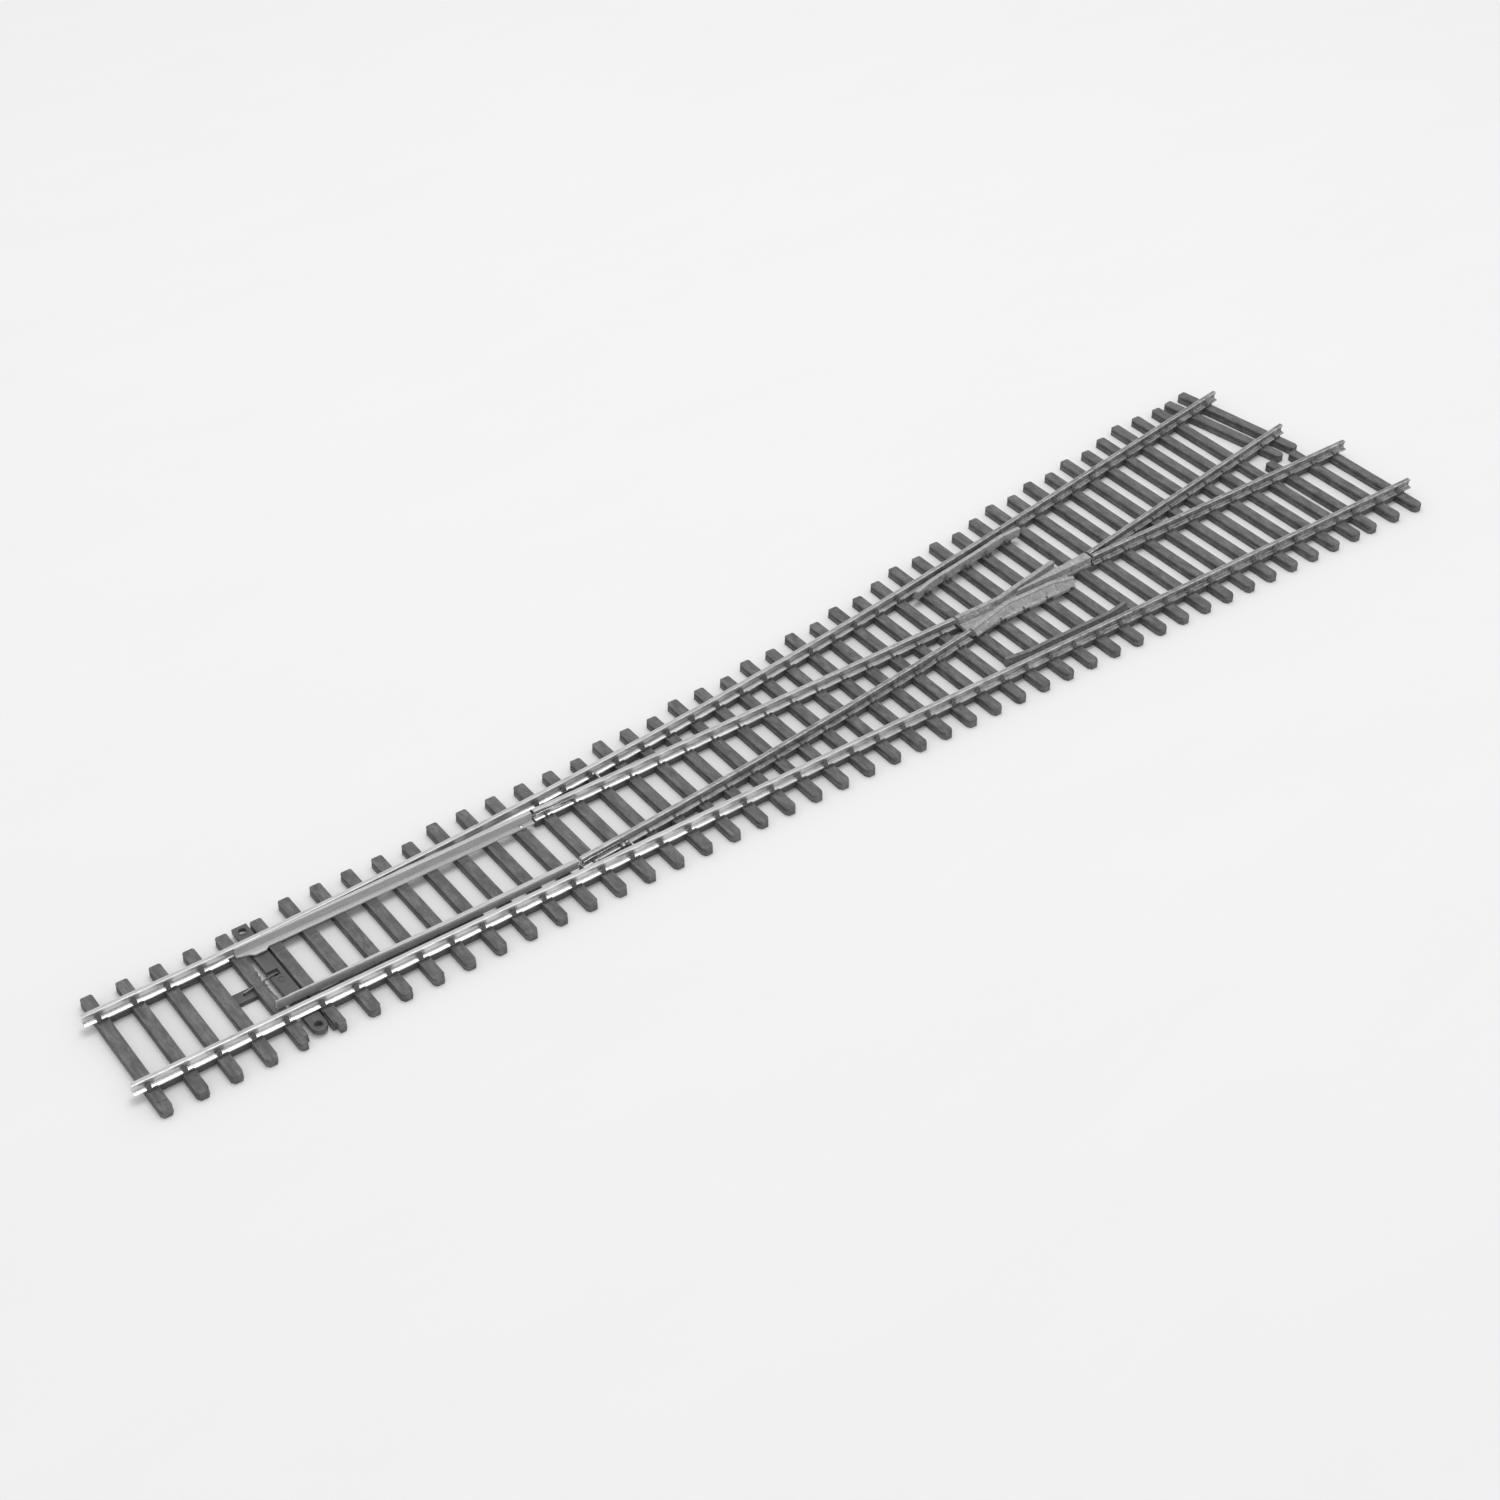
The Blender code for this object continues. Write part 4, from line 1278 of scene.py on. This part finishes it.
def strip_paths():
    """The lines that the moulded strips follow."""
    near = rail_line("near_stock_rail")
    far = rail_line("far_stock_rail")
    end_near, end_far = TIE_BAR_SLOT
    last_straight = HEEL_SLEEPERS[-1][0] + 1
    last_skew = SKEW_SLEEPERS[-1][0][0] + 1
    last_inner = SKEW_SLEEPERS[-1][1][0] - 1
    straight = rail_line("straight_closure_rail") + rail_line("straight_exit_rail")
    curved = rail_line("curved_closure_rail") + rail_line("diverging_exit_rail")
    paths = [between(line, TOE_SLEEPERS[0] + 1, end_near) for line in (near, far)]
    paths.append(beside(between(near, FIRST_AFTER_TIE_BAR + 1, BLADE_BED_END), BLADE_BED))
    paths.append(between(near, end_far, last_straight))
    paths.append(between(far, end_far, last_skew))
    paths.append(between(straight, INNER_STRIPS_START, last_straight))
    paths.append(between(curved, INNER_STRIPS_START, last_inner))
    return paths


def seat_and_ridge():
    """The block that the over-centre spring sits on, and a low ridge on the first sleeper."""
    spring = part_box("over_centre_spring")
    middle = (spring[0].y - CENTRE_Y) / MM + 0.25
    start, end = TOE_SLEEPERS[3] + 2.0, TOE_SLEEPERS[4] + 0.2
    left, right = TOE_SLEEPERS[0] + 0.25, TOE_SLEEPERS[0] + 1.9
    work = bmesh.new()
    ridge = [(left, -12.3), (right, -12.75), (right, -12.5), (left, -12.05)]
    prism(work, ridge, SLEEPER_TOP - 0.2, SLEEPER_TOP + 0.12)
    prism(work, rectangle(start, middle - 1.35, end, middle + 0.95), 0.0, SPRING_SEAT_TOP)
    round_edges(work, 0.08, 2)
    bmesh.ops.translate(work, verts=work.verts, vec=place(0.0, 0.0))
    return finish_mesh(to_mesh(work, "spring_seat"))


def slide_chair_template():
    """A thin plate that a blade slides on, with a raised dot where it was ejected."""
    values = settings("chairs")
    half = values.length / 2 / MM
    work = bmesh.new()
    plate_top = BLADE_SEAT - 0.03
    prism(work, rectangle(-half, 0.5, half, values.slide_reach / MM), SLEEPER_TOP - 0.1, plate_top)
    dot = arc((0.0, values.slide_reach / MM + 0.75), 0.42, 0, 345, 23)
    prism(work, dot, SLEEPER_TOP - 0.1, SLEEPER_TOP + 0.05)
    round_edges(work, 0.02, 1)
    return to_mesh(work, "slide_chair_template")


def slide_chair_rows():
    """Places for slide chairs under both blades."""
    rows = []
    zone = (FIRST_AFTER_TIE_BAR, BLADE_ZONE[1])
    for node, side in (("near_stock_rail", 1), ("far_stock_rail", -1)):
        line = rail_line(node)
        for sleeper in sleeper_lines():
            hit = crossing(line, sleeper)
            if hit and zone[0] < station_of(hit[0]) < zone[1]:
                heading = hit[1] if side > 0 else hit[1] + math.pi
                rows.append({"at": hit[0].to_3d(), "heading": heading})
    return rows


def welded_copy(node):
    """A CAD solid with its triangles merged into flat faces."""
    work = bmesh.new()
    work.from_mesh(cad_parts[node].data)
    bmesh.ops.remove_doubles(work, verts=work.verts, dist=0.001 * MM)
    bmesh.ops.dissolve_limit(
        work, angle_limit=math.radians(0.5), verts=work.verts, edges=work.edges
    )
    return to_mesh(work, node + "_copy")


def bevelled(mesh, width, segments):
    """A mesh with its sharp edges rounded by a width in millimetres."""
    item = linked("bevelled", mesh)
    modifier = item.modifiers.new("round", "BEVEL")
    modifier.width = width * MM
    modifier.segments = segments
    modifier.limit_method = "ANGLE"
    modifier.angle_limit = math.radians(30)
    rounded_mesh = evaluated_mesh(item)
    bpy.data.objects.remove(item, do_unlink=True)
    return rounded_mesh


def refined_copy(node, width, segments=2):
    """A CAD solid with flat faces merged and its edges rounded."""
    return finish_mesh(bevelled(welded_copy(node), width, segments))


def turned(profile, centre, steps=24):
    """A solid turned round an upright axis from a half profile of radius and level."""
    work = bmesh.new()
    rows = [work.verts.new(Vector((radius, 0.0, level)) * MM) for radius, level in profile]
    edges = [work.edges.new(pair) for pair in zip(rows, rows[1:])]
    bmesh.ops.spin(
        work,
        geom=rows + edges,
        cent=(0.0, 0.0, 0.0),
        axis=(0.0, 0.0, 1.0),
        angle=math.tau,
        steps=steps,
        use_merge=True,
    )
    bmesh.ops.remove_doubles(work, verts=work.verts, dist=0.001 * MM)
    bmesh.ops.recalc_face_normals(work, faces=work.faces)
    bmesh.ops.translate(work, verts=work.verts, vec=centre)
    return work


def joined(works, name):
    """Several bmeshes as one mesh."""
    mesh = bpy.data.meshes.new(name)
    whole = bmesh.new()
    for work in works:
        work.to_mesh(mesh)
        whole.from_mesh(mesh)
        work.free()
    whole.to_mesh(mesh)
    whole.free()
    return mesh


# ---------------------------------------------------------------- settings


class SleeperSettings(PropertyGroup):
    """Sizes and colour of the moulded sleepers."""

    width: FloatProperty(
        name="Width", description="Width of a sleeper", default=2.15 * MM, unit="LENGTH"
    )
    edge_round: FloatProperty(
        name="Edge Round",
        description="Rounding of the sleepers' edges",
        default=0.06 * MM,
        unit="LENGTH",
    )
    draft: FloatProperty(
        name="Draft",
        description="How much each side is drawn in at the top",
        default=0.06 * MM,
        unit="LENGTH",
    )
    groove: FloatProperty(
        name="Groove",
        description="Depth of the plank line along the sides",
        default=0.22 * MM,
        unit="LENGTH",
    )
    strip_width: FloatProperty(
        name="Strip Width",
        description="Width of the strips that tie the sleepers together",
        default=1.35 * MM,
        unit="LENGTH",
    )
    tone_spread: FloatProperty(
        name="Tone Spread", description="Difference in shade between sleepers", default=0.8
    )
    seed: IntProperty(name="Seed", description="Seed of the shade differences", default=11)
    colour: FloatVectorProperty(
        name="Colour", description="Plastic colour", default=grey(0.095), subtype="COLOR"
    )


class RailSettings(PropertyGroup):
    """Section and colours of the rails."""

    head: FloatProperty(
        name="Head", description="Width of the head", default=0.85 * MM, unit="LENGTH"
    )
    head_round: FloatProperty(
        name="Head Round", description="Rounding of the head", default=0.13 * MM, unit="LENGTH"
    )
    web: FloatProperty(
        name="Web", description="Thickness of the web", default=0.42 * MM, unit="LENGTH"
    )
    foot: FloatProperty(
        name="Foot", description="Width of the foot", default=1.8 * MM, unit="LENGTH"
    )
    bright: FloatVectorProperty(
        name="Bright", description="Colour of clean rail", default=grey(0.92), subtype="COLOR"
    )
    # Colour of the painted shade towards the heel, which stands in for weaker reflections there
    dull: FloatVectorProperty(
        name="Dull", description="Colour of dull rail", default=grey(0.32), subtype="COLOR"
    )
    # Colour of tarnish, and also the base of the painted shade along the web and on the head top
    tarnish_and_shade: FloatVectorProperty(
        name="Tarnish", description="Colour of tarnish", default=grey(0.26), subtype="COLOR"
    )


class ChairSettings(PropertyGroup):
    """Sizes of the moulded chairs and their spikes."""

    length: FloatProperty(
        name="Length", description="Length of a chair's plate", default=1.5 * MM, unit="LENGTH"
    )
    reach: FloatProperty(
        name="Reach",
        description="How far a plate stands out from the rail's foot",
        default=0.5 * MM,
        unit="LENGTH",
    )
    spike: FloatProperty(
        name="Spike", description="Width of a spike", default=0.44 * MM, unit="LENGTH"
    )
    spike_gap: FloatProperty(
        name="Spike Gap", description="Distance between spikes", default=0.85 * MM, unit="LENGTH"
    )
    stock_rise: FloatProperty(
        name="Stock Rise",
        description="Height of the stock rails' spikes over the rail seat",
        default=1.25 * MM,
        unit="LENGTH",
    )
    rise: FloatProperty(
        name="Rise",
        description="Height of the other rails' spikes over the rail seat",
        default=0.7 * MM,
        unit="LENGTH",
    )
    casting_rise: FloatProperty(
        name="Casting Rise",
        description="Height of the castings' spikes over the rail seat",
        default=0.95 * MM,
        unit="LENGTH",
    )
    slide_reach: FloatProperty(
        name="Slide Reach",
        description="How far a slide plate reaches from the stock rail's middle",
        default=3.4 * MM,
        unit="LENGTH",
    )
    clearance: FloatProperty(
        name="Clearance",
        description="Distance to the next rail under which a chair is left out",
        default=2.9 * MM,
        unit="LENGTH",
    )


class SwitchSettings(PropertyGroup):
    """Finish of the blades and the tie bar."""

    edge_round: FloatProperty(
        name="Edge Round", description="Rounding of the blades", default=0.05 * MM, unit="LENGTH"
    )
    blade_colour: FloatVectorProperty(
        name="Blade Colour", description="Satin sheet", default=grey(0.5), subtype="COLOR"
    )


class CrossingSettings(PropertyGroup):
    """Finish of the frog casting and the check rails."""

    edge_round: FloatProperty(
        name="Edge Round", description="Rounding of the castings", default=0.1 * MM, unit="LENGTH"
    )
    frog_colour: FloatVectorProperty(
        name="Frog Colour", description="Pale casting", default=grey(0.38), subtype="COLOR"
    )
    check_colour: FloatVectorProperty(
        name="Check Colour", description="Check rail casting", default=grey(0.4), subtype="COLOR"
    )


class StageSettings(PropertyGroup):
    """Floor, light and camera."""

    surround: FloatProperty(
        name="Surround", description="Strength of the light from all round", default=0.84
    )
    overhead: FloatProperty(
        name="Overhead", description="Power of the soft box overhead in watts", default=2.6
    )
    floor_colour: FloatVectorProperty(
        name="Floor", description="Colour of the floor", default=grey(0.8), subtype="COLOR"
    )
    focal_length: FloatProperty(
        name="Focal Length", description="Camera lens in millimetres", default=58.885
    )
    camera_place: FloatVectorProperty(
        name="Camera",
        description="Camera position",
        default=(-0.209267, -0.276321, 0.271333),
        subtype="TRANSLATION",
        unit="LENGTH",
        precision=6,
    )
    camera_view: FloatVectorProperty(
        name="View",
        description="Direction the camera looks in",
        default=(0.45485, 0.62265, -0.63672),
        subtype="DIRECTION",
        precision=5,
    )


# ---------------------------------------------------------------- operators


class TURNOUT_OT_stage(Operator):
    """Make the floor, the soft studio light and the camera"""

    bl_idname = "turnout.stage"
    bl_label = "Stage"

    def execute(self, context):
        values = settings("stage")
        make_floor()
        aim_camera(values)
        world = bpy.data.worlds.new("studio")
        world.use_nodes = True
        background = world.node_tree.nodes["Background"]
        background.inputs["Color"].default_value = (*grey(1.0), 1.0)
        background.inputs["Strength"].default_value = values.surround
        context.scene.world = world
        context.scene.view_settings.view_transform = "Standard"
        soft_box("overhead_light", OVERHEAD_PLACE, OVERHEAD_SIZE, values.overhead)
        return {"FINISHED"}


def make_floor():
    """A pale floor just under the sleepers."""
    work = bmesh.new()
    bmesh.ops.create_grid(work, x_segments=1, y_segments=1, size=FLOOR_REACH)
    bmesh.ops.translate(work, verts=work.verts, vec=(0.0, 0.0, -0.02 * MM))
    mesh = to_mesh(work, "floor")
    mesh.materials.append(made_once("floor_paper", floor_paper))
    floor = linked("floor", mesh)


def aim_camera(values):
    """The scene's camera, from the stage's settings."""
    lens = bpy.data.cameras.new("camera")
    lens.lens = values.focal_length
    lens.sensor_width = SENSOR_WIDTH
    lens.clip_start = NEAREST_VIEW
    camera = linked("camera", lens)
    camera.location = values.camera_place
    camera.rotation_euler = Vector(values.camera_view).to_track_quat("-Z", "Y").to_euler()
    bpy.context.scene.camera = camera


def soft_box(name, location, size, watts):
    """A square area light that faces the middle of the turnout."""
    light = bpy.data.lights.new(name, "AREA")
    light.shape = "SQUARE"
    light.size = size
    light.energy = watts
    lamp = linked(name, light)
    lamp.location = location
    lamp.rotation_euler = (-Vector(location)).to_track_quat("-Z", "Y").to_euler()


class TURNOUT_OT_sleepers(Operator):
    """Make every sleeper with its nipped ends, and the two that are stepped by the tie bar"""

    bl_idname = "turnout.sleepers"
    bl_label = "Sleepers"

    def execute(self, context):
        values = settings("sleepers")
        plastic = made_once("sleeper_plastic_wood_grain", sleeper_plastic)
        fields = {"heading": "FLOAT", "reach": "FLOAT_VECTOR"}
        mesh = copies_mesh(
            "sleepers",
            sleepers_tree(),
            sleeper_template(),
            sleeper_rows(),
            fields,
            plastic,
            values.tone_spread,
            values.seed,
        )
        mesh = finish_mesh(cut_away(mesh, tie_bar_cutters()))
        add_piece("sleepers", mesh, plastic, BODY, ["sleeper_base"])
        return {"FINISHED"}


class TURNOUT_OT_strips(Operator):
    """Make the moulded strips under the rails and the seat of the over-centre spring"""

    bl_idname = "turnout.strips"
    bl_label = "Strips"

    def execute(self, context):
        plastic = made_once("fitting_plastic", fitting_plastic)
        mesh = swept_mesh("tie_strips", strip_paths(), strip_outline(), plastic)
        add_piece("tie_strips", finish_mesh(mesh), plastic, BODY)

        add_piece("spring_seat_and_ridge", seat_and_ridge(), plastic, BODY)
        return {"FINISHED"}


class TURNOUT_OT_rails(Operator):
    """Sweep the six rails with a rounded head, filleted web and thin foot"""

    bl_idname = "turnout.rails"
    bl_label = "Rails"

    def execute(self, context):
        bright = made_once("rail_steel_bright", bright_rail)
        dull = made_once("rail_steel_dull", early_dimmed_rail)
        relief = (FOOT_RELIEF[0] - 0.05, FOOT_RELIEF[0], FOOT_RELIEF[1], FOOT_RELIEF[1] + 0.05)
        rails = (
            ("near_stock_rail", bright, 1),
            ("far_stock_rail", bright, -1),
            ("straight_closure_rail", bright, 0),
            ("curved_closure_rail", dull, 0),
            ("straight_exit_rail", dull, 0),
            ("diverging_exit_rail", dull, 0),
        )
        for node, steel, side in rails:
            name = node.replace("_rail", "_running_rail")
            path = rail_line(node)
            if side:
                path = with_stations(path, relief)
            mesh = swept_mesh(node, [path], rail_outline(), steel)
            if side:
                mesh = trim_foot(mesh, side)
            add_piece(name, finish_mesh(mesh), steel, BODY, [node])
        return {"FINISHED"}


class TURNOUT_OT_chairs(Operator):
    """Set a spiked half chair beside every rail at every sleeper, and the blades' slide plates"""

    bl_idname = "turnout.chairs"
    bl_label = "Chairs"

    def execute(self, context):
        plastic = made_once("fitting_plastic", fitting_plastic)
        values = settings("chairs")
        rails, castings = chair_lines()
        stock = ("near", "far")
        inner = [name for name in rails if name not in stock]
        tall, low, high = values.stock_rise / MM, values.rise / MM, values.casting_rise / MM
        spiked = chair_template(tall, RAIL_POST, STOCK_SPIKE_BREADTH)
        sets = (
            ("stock_rail_chairs", spiked, chair_rows(stock)),
            ("inner_rail_chairs", chair_template(low, RAIL_POST), chair_rows(inner)),
            ("casting_chairs", chair_template(high, CASTING_POST), chair_rows(castings)),
            ("slide_chairs", slide_chair_template(), slide_chair_rows()),
        )
        for name, shape, rows in sets:
            mesh = copies_mesh(
                name, fittings_tree(), shape, rows, {"heading": "FLOAT"}, plastic, 0.5, 5
            )
            add_piece(name, finish_mesh(mesh), plastic, BODY)
        return {"FINISHED"}


class TURNOUT_OT_blades(Operator):
    """Round the two blades' edges and give them their satin sheet"""

    bl_idname = "turnout.blades"
    bl_label = "Blades"

    def execute(self, context):
        sheet = made_once("blade_sheet_satin", blade_sheet)
        width = settings("switch").edge_round / MM
        for side in ("far", "near"):
            mesh = refined_copy(side + "_blade", width)
            body = side + "_switch_blade"
            add_piece(side + "_switch_rail", mesh, sheet, body, [side + "_blade"])
        return {"FINISHED"}


class TURNOUT_OT_castings(Operator):
    """Finish the frog casting and both check rails"""

    bl_idname = "turnout.castings"
    bl_label = "Castings"

    def execute(self, context):
        width = settings("crossing").edge_round / MM
        pale = made_once("frog_cast_metal", frog_metal)
        dull = made_once("check_rail_cast_metal", check_metal)
        frog = refined_copy("frog_casting", width, 3)
        add_piece("frog_crossing", frog, pale, BODY, ["frog_casting"])
        for side, path, reach in wing_lines():
            mesh = swept_mesh("frog_skirt", [path], skirt_outline(reach), pale)
            add_piece(side + "_wing_skirt", finish_mesh(mesh), pale, BODY)
        # Painted shade: the near check rail takes a darkened copy of the casting metal
        shadowed = made_once("check_rail_shaded_metal", shaded_check_metal)
        for side, inward, metal in (("near", -1, shadowed), ("far", 1, dull)):
            node = side + "_check_rail"
            path = rail_line(node)
            mesh = finish_mesh(swept_mesh(node, [path], guard_outline(inward), metal))
            add_piece(side + "_guard_rail", mesh, metal, BODY, [node])
        return {"FINISHED"}


class TURNOUT_OT_tie_bar(Operator):
    """Round the tie bar's edges and ring the eyes at its ends"""

    bl_idname = "turnout.tie_bar"
    bl_label = "Tie Bar"

    def execute(self, context):
        plastic = made_once("fitting_plastic", fitting_plastic)
        low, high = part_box("tie_bar")
        middle = (low.x + high.x) / 2
        ends = (low.y + EYE_INSET * MM, high.y - EYE_INSET * MM)
        bore = [(0.0, -1.0), (1.0, -1.0), (1.0, 0.95), (EYE_RADIUS, 0.95), (EYE_RADIUS, 3.0)]
        bore.append((0.0, 3.0))
        cutters = [to_mesh(turned(bore, (middle, y, 0.0)), "bore") for y in ends]
        bar = cut_away(welded_copy("tie_bar"), cutters)
        bar = finish_mesh(bevelled(bar, 0.06, 2))
        add_piece("sliding_tie_bar", bar, plastic, "tie_bar", ["tie_bar"])
        rings = []
        for y, size in ((ends[0], EYE_RADIUS), (ends[1], EYE_RADIUS), (CENTRE_Y, PIVOT_EYE_RADIUS)):
            profile = [(size + 0.02, 1.4), (size + 0.02, 1.52), (size + 0.06, 1.56)]
            profile += [(size + 0.18, 1.56), (size + 0.24, 1.5), (size + 0.26, 1.4)]
            rings.append(turned(profile + profile[:1], (middle, y, 0.0)))
        mesh = finish_mesh(joined(rings, "tie_bar_eye_rings"))
        add_piece("tie_bar_eye_rings", mesh, plastic, "tie_bar")
        return {"FINISHED"}


class TURNOUT_OT_small_metal(Operator):
    """Finish the heel rivets, clips, bond wires, drive pins and the spring"""

    bl_idname = "turnout.small_metal"
    bl_label = "Small Metal"

    def execute(self, context):
        wire = made_once("bright_wire_metal", bright_wire)
        works = []
        for side in ("far", "near"):
            low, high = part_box(side + "_heel_rivet")
            centre = (low + high) / 2
            top, base = high.z / MM, low.z / MM
            crown = arc((0.0, top - 0.22), 0.4, 0, 90, 5)
            dome = [(x, top - 0.19 + (y - top + 0.22) * 0.45) for x, y in crown]
            profile = [(0.0, base), (0.26, base), (0.26, top - 0.19)] + dome
            works.append(turned(profile, (centre.x, centre.y, 0.0)))
        rivets = finish_mesh(joined(works, "heel_rivets"))
        stands_for = ["far_heel_rivet", "near_heel_rivet"]
        add_piece("heel_rivet_heads", rivets, wire, BODY, stands_for)
        for side in ("far", "near"):
            clip = refined_copy(side + "_heel_clip", 0.05)
            name = side + "_heel_fishplate"
            add_piece(name, clip, wire, BODY, [side + "_heel_clip"])
        add_piece("bond_solder", solder_drops(), wire, BODY)
        for node in ("far_bond_wire", "near_bond_wire", "far_drive_pin", "near_drive_pin"):
            coat(node, wire)
        # Painted shade: the spring is dark to match the shaded slot it lies in
        coat("over_centre_spring", made_once("spring_wire_shaded_metal", shaded_spring_metal))
        return {"FINISHED"}


def coat(node, material):
    """Give a CAD node a material in place of its own."""
    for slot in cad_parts[node].material_slots:
        slot.material = material


def solder_drops():
    """A flattened drop of solder at each end of both bond wires."""
    works = []
    for node in ("far_bond_wire", "near_bond_wire"):
        low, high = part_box(node)
        middle = (low.x + high.x) / 2
        for y in (low.y + 0.16 * MM, high.y - 0.16 * MM):
            work = bmesh.new()
            shape = Matrix.Diagonal((0.55 * MM, 0.32 * MM, 0.3 * MM, 1.0))
            spot = Matrix.Translation((middle, y, low.z + 0.1 * MM))
            bmesh.ops.create_icosphere(work, subdivisions=3, radius=1.0, matrix=spot @ shape)
            works.append(work)
    return finish_mesh(joined(works, "bond_solder"))


# ---------------------------------------------------------------- panel and registration


class TURNOUT_PT_panel(Panel):
    """Lists the turnout's pieces and their settings"""

    bl_label = "Turnout"
    bl_idname = "TURNOUT_PT_panel"
    bl_space_type = "VIEW_3D"
    bl_region_type = "UI"
    bl_category = "Turnout"

    def draw(self, context):
        for operator in OPERATORS:
            self.layout.operator(operator.bl_idname)
        for name, group in GROUPS.items():
            box = self.layout.box()
            box.label(text=name.title())
            values = getattr(context.scene, "turnout_" + name)
            for key in group.__annotations__:
                box.prop(values, key)


GROUPS = {
    "sleepers": SleeperSettings,
    "rails": RailSettings,
    "chairs": ChairSettings,
    "switch": SwitchSettings,
    "crossing": CrossingSettings,
    "stage": StageSettings,
}
OPERATORS = (
    TURNOUT_OT_stage,
    TURNOUT_OT_sleepers,
    TURNOUT_OT_strips,
    TURNOUT_OT_rails,
    TURNOUT_OT_chairs,
    TURNOUT_OT_blades,
    TURNOUT_OT_castings,
    TURNOUT_OT_tie_bar,
    TURNOUT_OT_small_metal,
)
CLASSES = (*GROUPS.values(), *OPERATORS, TURNOUT_PT_panel)


def register():
    """Register the classes and hang the settings on the scene."""
    for item in CLASSES:
        bpy.utils.register_class(item)
    for name, group in GROUPS.items():
        setattr(bpy.types.Scene, "turnout_" + name, PointerProperty(type=group))


def unregister():
    """Undo register."""
    for name in GROUPS:
        delattr(bpy.types.Scene, "turnout_" + name)
    for item in reversed(CLASSES):
        bpy.utils.unregister_class(item)


def main():
    """Build everything in order."""
    register()
    for operator in OPERATORS:
        group, name = operator.bl_idname.split(".")
        getattr(getattr(bpy.ops, group), name)()


if __name__ == "__main__":
    main()
